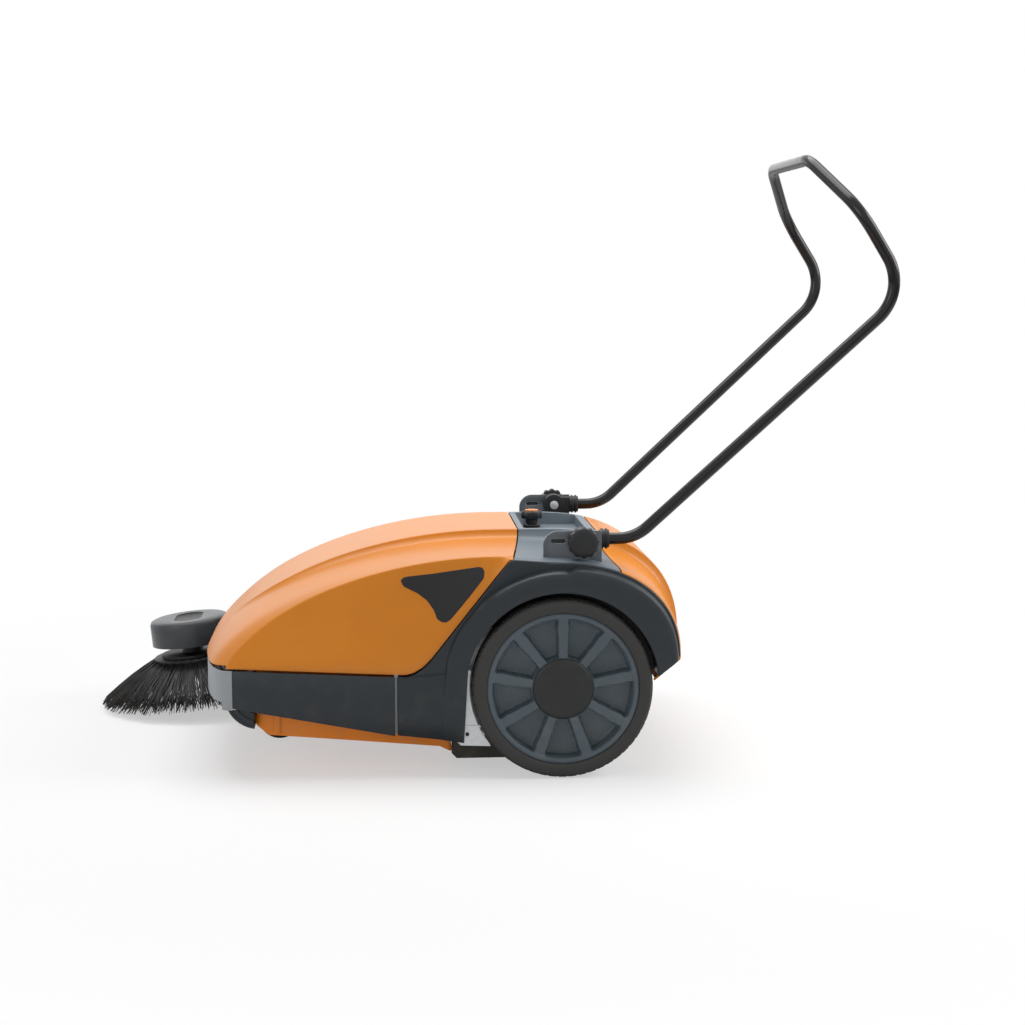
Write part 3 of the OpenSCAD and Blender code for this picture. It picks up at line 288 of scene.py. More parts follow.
@dataclass(frozen=True)
class Moulding:
    """Moulded plastic with a fine spark-eroded grain, faint flow marks and dust low down."""

    name: str
    colour: Colour
    roughness: float = 0.42
    grain: float = 0.00012
    grain_scale: float = 1500.0
    mottle: float = 0.08
    dust: float = 0.10
    coat: float = 0.0

    def build(self) -> bpy.types.Material:
        """Return the material."""
        g = Surface(self.name)
        flow = g.noise(6.0, 3.0)
        speck = g.noise(420.0, 2.0)
        dark, pale = (shaded(self.colour, 1 + share) for share in (-self.mottle, self.mottle))
        body = g.blend(flow.ease(0.35, 0.65), dark, pale)
        low = (1.0 - g.height().ease(0.05, 0.32)) * g.noise(34.0, 4.0).ease(0.42, 0.75) * self.dust
        dusty = g.blend(low, body, linear(150, 140, 124))
        grain = g.noise(self.grain_scale, 3.0)
        rough = flow * 0.05 + speck * 0.08 + low * 0.5 + (self.roughness - 0.065)
        g.set(Base_Color=dusty, Roughness=rough, Coat_Weight=self.coat, Coat_Roughness=0.12)
        g.set(Specular_IOR_Level=0.36)
        g.bump(grain, self.grain)
        return g.material


@dataclass(frozen=True)
class ZincPlate:
    """Bright zinc-plated sheet steel with rolling marks and a faint spangle."""

    name: str
    colour: Colour

    def build(self) -> bpy.types.Material:
        """Return the material."""
        g = Surface(self.name)
        place = g.position()
        spangle = g.value("ShaderNodeTexVoronoi", None, {"Vector": place, "Scale": 95.0}, "Distance")
        marks = g.noise(60.0, 3.0, (0.4, 1.0, 9.0))
        tone = spangle.ease(0.1, 0.7) * 0.4 + marks * 0.6
        g.set(Base_Color=g.blend(tone, shaded(self.colour, 0.80), self.colour), Metallic=0.82)
        g.set(Roughness=marks * 0.18 + spangle * 0.08 + 0.24)
        g.bump(marks, 0.00006)
        return g.material


@dataclass(frozen=True)
class TyreRubber:
    """Solid tyre rubber: matt, with moulding bloom and dust in the tread."""

    name: str
    colour: Colour

    def build(self) -> bpy.types.Material:
        """Return the material."""
        g = Surface(self.name)
        bloom = g.noise(28.0, 4.0)
        grit = g.noise(900.0, 3.0)
        worn = bloom.ease(0.45, 0.75)
        g.set(Base_Color=g.blend(worn * 0.6, self.colour, linear(54, 54, 53)))
        g.set(Roughness=worn * 0.12 + grit * 0.1 + 0.58)
        g.bump(grit + bloom * 0.4, 0.00025)
        return g.material


@dataclass(frozen=True)
class SealRubber:
    """Cut rubber sheet, a little dusty, with the cloth mark of its press."""

    name: str
    colour: Colour

    def build(self) -> bpy.types.Material:
        """Return the material."""
        g = Surface(self.name)
        place = g.position()
        cloth = g.value("ShaderNodeTexWave", {"bands_direction": "DIAGONAL"},
                        {"Vector": place, "Scale": 260.0, "Distortion": 0.6}, 1)
        dust = g.noise(22.0, 5.0).ease(0.4, 0.72)
        g.set(Base_Color=g.blend(dust * 0.5, self.colour, linear(104, 98, 88)))
        g.set(Roughness=dust * 0.15 + 0.62)
        g.bump(cloth + dust, 0.00018)
        return g.material


@dataclass(frozen=True)
class PowderCoat:
    """Gloss powder coat with a slight orange peel and small scuffs."""

    name: str
    colour: Colour

    def build(self) -> bpy.types.Material:
        """Return the material."""
        g = Surface(self.name)
        peel = g.noise(520.0, 2.0)
        scuff = g.noise(70.0, 5.0, (1.0, 1.0, 0.3)).ease(0.62, 0.8)
        g.set(Base_Color=g.blend(scuff * 0.15, self.colour, linear(58, 58, 60)))
        g.set(Roughness=scuff * 0.15 + peel * 0.05 + 0.17, Coat_Weight=0.15, Coat_Roughness=0.08)
        g.set(Specular_IOR_Level=0.3)
        g.bump(peel, 0.00002)
        return g.material


@dataclass(frozen=True)
class Fibre:
    """Stiff black brush fibre, with a dull bloom towards its dusty tips."""

    name: str
    colour: Colour

    def build(self) -> bpy.types.Material:
        """Return the material."""
        g = Surface(self.name)
        strand = g.noise(700.0, 2.0)
        tip = 1.0 - g.height().ease(0.0, 0.09)
        g.set(Base_Color=g.blend(tip * strand * 0.35, self.colour, linear(88, 82, 74)))
        g.set(Roughness=strand * 0.2 + 0.34)
        return g.material


@dataclass(frozen=True)
class CarbonFoil:
    """Dark twill-weave foil under a clear coat, for the badge plates. It carries no mark."""

    name: str
    weave: float = 420.0

    def build(self) -> bpy.types.Material:
        """Return the material."""
        g = Surface(self.name)
        place = g.position()
        waves = [
            g.value("ShaderNodeTexWave", {"bands_direction": way, "wave_profile": "SIN"},
                    {"Vector": place, "Scale": self.weave / 6.28}, 1)
            for way in ("X", "Z")
        ]
        checks = (waves[0] * waves[1] + (1.0 - waves[0]) * (1.0 - waves[1])).ease(0.3, 0.7)
        g.set(Base_Color=g.blend(checks, linear(13, 14, 15), linear(32, 33, 35)))
        g.set(Roughness=checks * 0.15 + 0.3, Coat_Weight=0.15, Coat_Roughness=0.15, Specular_IOR_Level=0.3)
        g.bump(checks, 0.00012)
        return g.material


class Finish(Enum):
    """The finishes on the machine, each with the record's material slot it stands for."""

    ORANGE = (
        "orange_shell",
        Moulding("orange_moulding", linear(216, 128, 12), 0.40, 0.00008, 1700.0, 0.03, 0.04, 0.15),
    )
    GRAPHITE = (
        "graphite_panel",
        Moulding("graphite_moulding", linear(33, 40, 45), 0.42, 0.00012, 1300.0, 0.03, 0.04),
    )
    RIM = (
        "graphite_panel",
        Moulding("rim_moulding", linear(76, 87, 94), 0.36, 0.00010, 1300.0, 0.04, 0.08),
    )
    DECK = (
        "deck_plastic",
        Moulding("deck_moulding", linear(108, 118, 127), 0.44, 0.00016, 1300.0, 0.04, 0.06),
    )
    BUMPER = (
        "deck_plastic",
        Moulding("bumper_moulding", linear(150, 154, 158), 0.46, 0.00016, 1200.0, 0.05, 0.10),
    )
    BLACK = (
        "black_plastic",
        Moulding("black_moulding", linear(27, 28, 30), 0.46, 0.00018, 1100.0, 0.05, 0.06),
    )
    HUB = (
        "black_plastic",
        Moulding("hub_moulding", linear(29, 30, 31), 0.40, 0.00010, 1500.0, 0.03, 0.03),
    )
    KNOB = (
        "black_plastic",
        Moulding("knob_moulding", linear(30, 31, 33), 0.40, 0.00012, 1300.0, 0.04, 0.0),
    )
    GEAR = (
        "gear_plastic",
        Moulding("gear_moulding", linear(78, 84, 88), 0.38, 0.00006, 1500.0, 0.05, 0.2),
    )
    ZINC = ("zinc_steel", ZincPlate("zinc_plate", linear(205, 208, 210)))
    TYRE = ("tyre_rubber", TyreRubber("tyre_rubber_worn", linear(40, 39, 38)))
    SEAL = ("seal_rubber", SealRubber("seal_rubber_cut", linear(56, 56, 52)))
    TUBE = ("tube_paint", PowderCoat("tube_powder_coat", linear(12, 12, 14)))
    FIBRE = ("bristle", Fibre("brush_fibre", linear(20, 20, 21)))
    FOIL = ("black_plastic", CarbonFoil("carbon_foil"))
    TUB = (
        "orange_shell",
        Moulding("tub_moulding", linear(226, 126, 16), 0.40, 0.00012, 1500.0, 0.05, 0.16),
    )
    ARM = (
        "deck_plastic",
        Moulding("arm_moulding", linear(62, 66, 70), 0.32, 0.00010, 1400.0, 0.04, 0.06),
    )
    BRACKET = ("zinc_steel", PowderCoat("bracket_powder_coat", linear(98, 104, 110)))
    BELT = ("seal_rubber", SealRubber("belt_rubber", linear(34, 33, 32)))


class Finishes:
    """Builds each finish once and puts it on pieces."""

    def __init__(self) -> None:
        """Start with no finish built."""
        self._made: dict[Finish, bpy.types.Material] = {}

    def material(self, finish: Finish) -> bpy.types.Material:
        """Return a finish's material, built on first use."""
        if finish not in self._made:
            self._made[finish] = finish.value[1].build()
        return self._made[finish]

    def dress(self, piece: bpy.types.Object, finish: Finish) -> None:
        """Put one finish on a piece."""
        piece.data.materials.clear()
        piece.data.materials.append(self.material(finish))

    def dress_solid(self, node: str, finish: Finish) -> bpy.types.Object:
        """Put one finish on a carried-over solid and return the solid."""
        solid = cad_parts[node]
        if not solid.material_slots:
            solid.data.materials.append(None)
        for slot in solid.material_slots:
            slot.material = self.material(finish)
        return solid


# ---------------------------------------------------------------------------
# Mesh tools
# ---------------------------------------------------------------------------


class Mesher:
    """Turns lists of points and faces into pieces of the scene."""

    def __init__(self, finishes: Finishes) -> None:
        """Keep the finishes that new pieces take."""
        self.finishes = finishes

    def piece(
        self, name: str, points: Sequence[Vector], faces: Sequence[Sequence[int]], finish: Finish, body: str,
        rounded: bool = True,
    ) -> bpy.types.Object:
        """Make one piece.

        Args:
            name: The piece's name.
            points: Its points in the frame.
            faces: Point numbers of each face.
            finish: The finish it wears.
            body: The body it rides on.
            rounded: Whether its faces shade as one surface.

        Returns:
            The new object.
        """
        mesh = bpy.data.meshes.new(name)
        mesh.from_pydata([tuple(p) for p in points], [], [tuple(f) for f in faces])
        mesh.validate()
        bm = bmesh.new()
        bm.from_mesh(mesh)
        bmesh.ops.recalc_face_normals(bm, faces=bm.faces)
        bm.to_mesh(mesh)
        bm.free()
        mesh.polygons.foreach_set("use_smooth", [rounded] * len(mesh.polygons))
        made = bpy.data.objects.new(name, mesh)
        bpy.context.scene.collection.objects.link(made)
        self.finishes.dress(made, finish)
        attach(made, body)
        LOG.info("%s: %d faces on %s", name, len(mesh.polygons), body)
        return made

    @staticmethod
    def grid_faces(rows: int, columns: int, around: bool = False, shut: bool = False) -> list[tuple[int, ...]]:
        """Return the faces of a grid of points.

        Args:
            rows: Its rows.
            columns: The points of each row.
            around: Whether each row closes on itself.
            shut: Whether the last row joins the first.

        Returns:
            The point numbers of each face.
        """
        return [
            (i * columns + j, i * columns + (j + 1) % columns,
             (i + 1) % rows * columns + (j + 1) % columns, (i + 1) % rows * columns + j)
            for i in range(rows if shut else rows - 1)
            for j in range(columns if around else columns - 1)
        ]

    @staticmethod
    def thicken(piece: bpy.types.Object, wall: float) -> None:
        """Give an open skin a wall of some millimetres behind its outer face."""
        walls = piece.modifiers.new("wall", "SOLIDIFY")
        walls.thickness = wall * MM
        walls.offset = -1.0

    @staticmethod
    def turn_out(mesh: bpy.types.Mesh, outward: Vector) -> None:
        """Turn an open skin's faces so that most of them look a given way."""
        if sum(p.normal.dot(outward) * p.area for p in mesh.polygons) < 0:
            mesh.flip_normals()

    @staticmethod
    def soften(piece: bpy.types.Object, width: float, angle: float = 35.0, segments: int = 2) -> None:
        """Round a piece's sharp edges.

        Args:
            piece: The piece.
            width: The rounding in metres.
            angle: Edges that turn less than this many degrees stay as they are.
            segments: Faces across the rounding.
        """
        bevel = piece.modifiers.new("edge_rounding", "BEVEL")
        bevel.width = width
        bevel.limit_method = "ANGLE"
        bevel.angle_limit = math.radians(angle)
        bevel.segments = segments
        bevel.harden_normals = False

    def keep(self, node: str, finish: Finish, width: float) -> None:
        """Dress a carried-over solid and round its edges.

        Args:
            node: The solid's name.
            finish: Its finish.
            width: The rounding of its edges in millimetres, or 0 for none.
        """
        solid = self.finishes.dress_solid(node, finish)
        weld = solid.modifiers.new("weld", "WELD")
        weld.merge_threshold = WELD_GAP
        if width > 0:
            self.soften(solid, width * MM, SOLID_TURN)
        self.shade(solid, SOLID_TURN)
        LOG.info("%s: %s", node, finish.name.lower())

    def plate(
        self, name: str, outline: Sequence[tuple[float, float]], span: tuple[float, float], side: int,
        finish: Finish, body: str,
    ) -> bpy.types.Object:
        """Make a flat plate that stands along the machine.

        Args:
            name: The piece's name.
            outline: Its outline in side view, in millimetres.
            span: Its distances from the middle plane.
            side: 1 for the left side, -1 for the right.
            finish: The finish it wears.
            body: The body it rides on.

        Returns:
            The plate.
        """
        count = len(outline)
        points = [at(x, -side * y, z) for y in span for x, z in outline]
        faces = [tuple(range(count)), tuple(range(2 * count - 1, count - 1, -1))]
        faces += [(i, (i + 1) % count, count + (i + 1) % count, count + i) for i in range(count)]
        made = self.piece(name, points, faces, finish, body, rounded=False)
        self.soften(made, PLATE_ROUND)
        return made

    @staticmethod
    def shade(piece: bpy.types.Object, angle: float = 35.0) -> None:
        """Shade a piece smooth except across edges that turn more than an angle in degrees."""
        mesh = piece.data
        mesh.shade_smooth()
        mesh.set_sharp_from_angle(angle=math.radians(angle))


def along(points: Sequence[Vector], start: float, end: float, count: int) -> list[Vector]:
    """Return evenly spaced points of a polyline between two distances from its beginning."""
    lengths = [0.0]
    for a, b in zip(points, points[1:]):
        lengths.append(lengths[-1] + (b - a).length)
    found = []
    for i in range(count):
        goal = mix(start, end, i / (count - 1))
        n = 0
        while n < len(points) - 2 and lengths[n + 1] < goal:
            n += 1
        span = lengths[n + 1] - lengths[n]
        found.append(points[n].lerp(points[n + 1], clamp01((goal - lengths[n]) / span) if span else 0.0))
    return found


def polyline_length(points: Sequence[Vector]) -> float:
    """Return the length of a polyline."""
    return sum((b - a).length for a, b in zip(points, points[1:]))


def spline(points: Sequence[Vector], steps: int) -> list[Vector]:
    """Return a smooth curve through points, with a number of steps to each span."""
    ends = [points[0] * 2 - points[1], *points, points[-1] * 2 - points[-2]]
    curve = []
    for i in range(1, len(ends) - 2):
        a, b, c, d = ends[i - 1], ends[i], ends[i + 1], ends[i + 2]
        for s in range(steps):
            t = s / steps
            curve.append(0.5 * (b * 2 + (c - a) * t + (a * 2 - b * 5 + c * 4 - d) * t * t
                                + (b * 3 - a - c * 3 + d) * t ** 3))
    curve.append(points[-1].copy())
    return curve


# ---------------------------------------------------------------------------
# Body shell
# ---------------------------------------------------------------------------


@dataclass
class BodyLines:
    """Lines of the body shell, in millimetres from the axle datum, numbered from the middle outwards."""

    half_w: float = 297.0
    ridge_half: float = 122.0
    top_z: float = 390.0
    hood_edge_z: float = 187.0
    base_z: float = 150.0
    hood_power: float = 1.22
    crest_x: float = -100.0
    hood_rear_x: float = -62.0
    nose_x: float = -598.0
    corner_x: float = -541.0
    edge_low_z: float = 173.0
    edge_turn_x: float = -262.0
    edge_rise_x: float = -210.0
    shoulder_y: float = 285.0
    shoulder_drop: float = 23.0
    tail_x: float = -20.0
    tail_z: float = 190.0
    tail_len: float = 240.0
    cover_x0: float = 81.0
    across: tuple[float, ...] = (0, 0.4, 0.8, 1, 0.03, 0.1, 0.25, 0.5, 0.8, 1, 0.5, 1)
    drops: tuple[float, ...] = (0, 0, 0, 0, 0.44, 0.62, 0.76, 0.88, 0.96, 1, 1, 1)
    front_share: tuple[float, ...] = (0, 0.06, 0.12, 0.16, 0.2, 0.27, 0.45, 0.7, 0.88, 0.995, 1, 1)
    side_drop: float = 3.5
    lip_z: float = 192.0
    lip_run: Point = (42.0, 6.0, 36.0)
    ridge_power: float = 2.5
    shoulder_power: float = 2.35
    tail_taper: float = 6.0
    tail_drop: float = 6.0
    tail_sweep: float = 19.0
    deck_sweep: tuple[float, float] = (20.0, 18.0)
    edge_bow: float = 0.0126
    edge_rise: float = 34.0
    edge_slope: float = 1.27
    edge_lift: float = 6.0
    side_least: float = 4.0
    spread: tuple[float, float] = (5.0, 42.0)
    cove_at_front: float = 0.35

    def half_at(self, k: int) -> float:
        """Return how far line k lies from the middle at the crest."""
        if k <= RIDGE:
            return self.across[k] * self.ridge_half
        if k <= SHOULDER:
            return mix(self.ridge_half, self.shoulder_y, self.across[k])
        return mix(self.shoulder_y, self.half_w, self.across[k])

    def side_share(self, k: int) -> float:
        """Return 0 for a line inside the ridge, rising to 1 at the foot of the side."""
        return clamp01((self.half_at(k) - self.ridge_half) / (self.half_w - self.ridge_half))

    def front_x(self, y: float) -> float:
        """Return the front edge's place at a distance y from the middle."""
        reach = max(0.0, 1 - min(1.0, abs(y) / self.half_w) ** self.ridge_power) ** (1 / self.ridge_power)
        return self.corner_x - (self.corner_x - self.nose_x) * reach

    def side_foot(self, x: float) -> float:
        """Return the height of the hood's side edge."""
        if x < self.edge_turn_x:
            share = (x - self.edge_turn_x) / (self.corner_x - self.edge_turn_x)
            return mix(self.edge_low_z, self.hood_edge_z, share)
        if x < self.edge_rise_x:
            return self.edge_low_z + self.edge_bow * (x - self.edge_turn_x) ** 2
        return self.edge_low_z + self.edge_rise + self.edge_slope * (x - self.edge_rise_x)

    def hood_line(self, k: int, t: float) -> Vector:
        """Return a point of the hood on line k, from its front edge at 0 past its crest at 1 to 2."""
        kk = min(k, SHOULDER)
        share = self.drops[kk]
        rise = (self.top_z - self.base_z) - self.shoulder_drop * share
        edge = self.hood_edge_z + (self.edge_lift if kk == SHOULDER else 0) - self.base_z
        a0 = math.degrees(math.asin((edge / rise) ** (1 / self.hood_power)))
        a = a0 + (90 - a0) * min(t, 1.0)
        y0 = self.half_w * self.front_share[kk]
        s = smooth((a - self.spread[0]) / self.spread[1])
        reach = self.crest_x - self.front_x(y0)
        x = self.crest_x - reach * math.cos(math.radians(a)) / math.cos(math.radians(a0))
        if t > 1:
            x = mix(self.crest_x, self.hood_rear_x - self.deck_sweep[0] * self.side_share(kk), t - 1)
        fade = mix(self.cove_at_front if RIDGE < kk < SHOULDER else 1.0, 1.0, s)
        height = rise + self.shoulder_drop * share * (1 - fade)
        z = self.base_z + height * math.sin(math.radians(a)) ** self.hood_power
        y = mix(y0, self.half_at(kk), s)
        if k > SHOULDER:
            z = mix(z, min(self.side_foot(x), z - self.side_least), self.across[k])
            y = mix(max(y, self.shoulder_y), self.half_w, self.across[k])
        return Vector((x, y, z))

    def tail_curve(self, x: float, reach: float, height: float, power: float) -> float:
        """Return the height of the rear cover's curve at x."""
        return self.tail_z + height * max(0.0, 1 - clamp01((x - self.tail_x) / reach) ** power) ** (1 / power)

    def ridge_at(self, x: float) -> float:
        """Return the height of the ridge at x."""
        if x < self.tail_x:
            return self.top_z
        return self.tail_curve(x, self.tail_len, self.top_z - self.tail_z, self.ridge_power)

    def shoulder_at(self, x: float) -> float:
        """Return the height of the shoulder at x."""
        if x < self.tail_x:
            share = clamp01((x - self.crest_x) / (self.tail_x - self.crest_x))
            return self.top_z - mix(self.shoulder_drop, self.shoulder_drop + self.tail_drop, share)
        height = self.top_z - self.shoulder_drop - self.tail_drop - self.tail_z
        return self.tail_curve(x, self.tail_len - self.tail_sweep, height, self.shoulder_power)

    def deck_line(self, k: int, x: float) -> Vector:
        """Return a point of the deck panel on line k, at x on the middle line."""
        share = self.side_share(k)
        xx = x - self.deck_sweep[0] * share if x < 0 else x + self.deck_sweep[1] * share
        top = mix(self.ridge_at(xx), self.shoulder_at(xx), self.drops[min(k, SHOULDER)])
        return Vector((xx, self.half_at(k), top - (self.side_drop * self.across[k] if k > SHOULDER else 0)))

    def tail_line(self, k: int, t: float) -> Vector:
        """Return a point of the rear cover on line k, from the deck at 0 to its lower edge at 1, then 2."""
        kk = min(k, SHOULDER)
        share = self.drops[kk]
        inset = self.side_drop * self.across[k] if k > SHOULDER else 0.0
        power = mix(self.ridge_power, self.shoulder_power, share)
        reach = self.tail_len - self.tail_sweep * share - inset
        height = (self.top_z - self.tail_z) - (self.shoulder_drop + self.tail_drop) * share - inset
        x0 = self.cover_x0 + self.tail_sweep * self.side_share(kk)
        a0 = math.degrees(math.acos(((x0 - self.tail_x) / reach) ** (power / 2)))
        a1 = math.degrees(math.asin(((self.lip_z - self.tail_z) / height) ** (power / 2)))
        u = min(t, 1.0)
        angle = math.radians(mix(a0, a1, u))
        x = self.tail_x + reach * math.cos(angle) ** (2 / power)
        z = self.tail_z + height * math.sin(angle) ** (2 / power)
        y = self.half_at(k) - self.tail_taper * u * (kk / SHOULDER)
        if t > 1:
            low = t - 1
            run, narrow, fall = self.lip_run
            return Vector((x - run * low, y - narrow * low, self.lip_z - 1 - fall * low))
        return Vector((x, y, z))


@dataclass
class BodyShell:
    """The orange hood and rear cover, as smooth mouldings with soft folds along ridge and shoulder."""

    mesher: Mesher
    lines: BodyLines = field(default_factory=BodyLines)
    wall: float = 3.5
    ridge_fold: float = 2.0
    shoulder_fold: float = 3.5
    hood_rows: int = 47
    hood_crowding: float = 1.15
    crest_rows: int = 8
    tail_rows: int = 27
    lip_rows: tuple[float, ...] = (1.02, 1.2, 1.5, 1.8, 2.0)
    rim_round: float = 0.9

    def section(self, line: Callable[[int, float], Vector], t: float) -> list[Vector]:
        """Return a whole cross-section, from the left foot over the top to the right foot.

        Args:
            line: Gives the point of a line at a station.
            t: The station.

        Returns:
            The section's points in millimetres, the same number at every station.
        """
        top, cove = (
            spline([line(k, t) for k in range(first, last + 1)], 4) for first, last in ((0, RIDGE), (RIDGE, SHOULDER))
        )
        side = [line(k, t) for k in range(SHOULDER, FOOT + 1)]
        ridge = min(self.ridge_fold, polyline_length(cove) * 0.2, polyline_length(top) * 0.3)
        shoulder = min(self.shoulder_fold, polyline_length(cove) * 0.3, polyline_length(side) * 0.3)
        half = along(top, 0.0, polyline_length(top) - ridge, 8)
        inner = along(cove, ridge, polyline_length(cove) - shoulder, 18)
        half += self.fold(half[-1], top[-1], inner[0])
        half += inner
        outer = along(side, shoulder, polyline_length(side), 9)
        half += self.fold(inner[-1], side[0], outer[0])
        half += outer
        return [Vector((p.x, -p.y, p.z)) for p in reversed(half[1:])] + half

    @staticmethod
    def fold(before: Vector, corner: Vector, after: Vector) -> list[Vector]:
        """Return the points of a rounded fold between two points, round a corner."""
        shares = (0.2, 0.4, 0.6, 0.8)
        return [before.lerp(corner, s).lerp(corner.lerp(after, s), s) for s in shares]

    def skin(
        self, name: str, line: Callable[[int, float], Vector], stations: Sequence[float], body: str, node: str
    ) -> bpy.types.Object:
        """Make one moulding from its cross-sections.

        Args:
            name: The piece's name.
            line: Gives the point of a line at a station.
            stations: The stations along the moulding.
            body: The body it rides on.
            node: The solid it stands for.

        Returns:
            The moulding.
        """
        rows = [self.section(line, t) for t in stations]
        points = [at(p.x, p.y, p.z) for row in rows for p in row]
        faces = self.mesher.grid_faces(len(rows), len(rows[0]))
        made = self.mesher.piece(name, points, faces, Finish.ORANGE, body)
        self.mesher.turn_out(made.data, UP)
        self.mesher.thicken(made, self.wall)
        self.mesher.soften(made, self.rim_round * MM, 55.0)
        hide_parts(node)
        return made

    def build(self) -> bpy.types.Object:
        """Make the hood and the rear cover.

        Returns:
            The hood, for the badge plates that lie on it.
        """
        ahead = [(i / self.hood_rows) ** self.hood_crowding for i in range(self.hood_rows + 1)]
        behind = [1 + i / self.crest_rows for i in range(1, self.crest_rows + 1)]
        hood = self.skin("hood_moulding", self.lines.hood_line, ahead + behind, "hood", "hood")
        down = [i / self.tail_rows for i in range(self.tail_rows + 1)]
        self.skin("rear_cover_moulding", self.lines.tail_line, [*down, *self.lip_rows], "chassis", "rear_cover")
        return hood


@dataclass
class BadgePlates:
    """Bare foil plates on the hood's sides, each a triangle with round corners."""

    mesher: Mesher
    outline: tuple[tuple[float, float], ...] = (
        (-265, 328), (-262, 333), (-254, 335), (-215, 339), (-176, 344.5), (-137, 350), (-130, 348),
        (-128, 342), (-129, 332), (-150, 305), (-167, 284), (-183, 265), (-191, 259), (-199, 260),
        (-206, 265), (-211, 279), (-222, 295), (-237, 307), (-261, 319),
    )
    thick: float = 0.7
    edge: float = 0.6
    count: int = 96
    inner_rings: tuple[float, ...] = (0.93, 0.8, 0.6, 0.4, 0.2, 0.05)

    def build(self, hood: bpy.types.Object) -> None:
        """Lay one plate on each side of the hood."""
        tree = BVHTree.FromPolygons(
            [v.co.copy() for v in hood.data.vertices], [tuple(p.vertices) for p in hood.data.polygons]
        )
        for side, name in ((-1, "badge_plate_left"), (1, "badge_plate_right")):
            self.plate(tree, side, name)

    def plate(self, tree: BVHTree, side: int, name: str) -> None:
        """Make the plate of one side as rings that shrink towards its middle.

        Args:
            tree: The hood's surface.
            side: -1 for the left side, 1 for the right.
            name: The piece's name.
        """
        count = self.count
        closed = [Vector((x, 0.0, z)) for x, z in (*self.outline, self.outline[0])]
        rim = along(closed, 0.0, polyline_length(closed), count + 1)[:-1]
        middle = sum(rim, Vector()) / count
        rings = [(1.0, 0.0), (1.0, self.thick - 0.25), (1.0 - self.edge / 60, self.thick)]
        rings += [(share, self.thick) for share in self.inner_rings]
        points = []
        for share, lift in rings:
            points += [self.on_hood(tree, middle.lerp(p, share), side, lift) for p in rim]
        points.append(self.on_hood(tree, middle, side, self.thick))
        faces = self.mesher.grid_faces(len(rings), count, around=True)
        last = (len(rings) - 1) * count
        faces += [(last + j, last + (j + 1) % count, len(points) - 1) for j in range(count)]
        made = self.mesher.piece(name, points, faces, Finish.FOIL, "hood")
        self.mesher.shade(made, SOLID_TURN)

    @staticmethod
    def on_hood(tree: BVHTree, place: Vector, side: int, lift: float) -> Vector:
        """Return the point of the hood's side above a place, lifted off it by some millimetres."""
        start = at(place.x, side * 400.0, place.z)
        hit, normal, _, _ = tree.ray_cast(start, Vector((0.0, -side, 0.0)))
        if hit is None:
            raise ValueError(f"no hood surface at {place.x:.0f}, {place.z:.0f}")
        outward = normal if normal.y * side > 0 else -normal
        return hit + outward * (lift * MM)


# ---------------------------------------------------------------------------
# Brushes
# ---------------------------------------------------------------------------


@dataclass
class FibreBundle:
    """Collects fibres as thin tapered prisms and turns them into one piece."""

    sides: int = 3
    points: list[Vector] = field(default_factory=list)
    faces: list[tuple[int, ...]] = field(default_factory=list)

    def add(self, path: Sequence[Vector], root_radius: float, tip_radius: float) -> None:
        """Add one fibre.

        Args:
            path: Its middle line in the frame.
            root_radius: Its radius at the root in metres.
            tip_radius: Its radius at the tip in metres.
        """
        base = len(self.points)
        for i, place in enumerate(path):
            ahead = path[min(i + 1, len(path) - 1)] - path[max(i - 1, 0)]
            turn = ahead.to_track_quat("Z", "X")
            radius = mix(root_radius, tip_radius, i / (len(path) - 1))
            for angle in ring(self.sides):
                self.points.append(place + turn @ Vector((radius * math.cos(angle), radius * math.sin(angle), 0.0)))
        for face in Mesher.grid_faces(len(path), self.sides, around=True):
            self.faces.append(tuple(base + i for i in face))
        self.faces.append(tuple(base + s for s in reversed(range(self.sides))))
        top = base + (len(path) - 1) * self.sides
        self.faces.append(tuple(top + s for s in range(self.sides)))


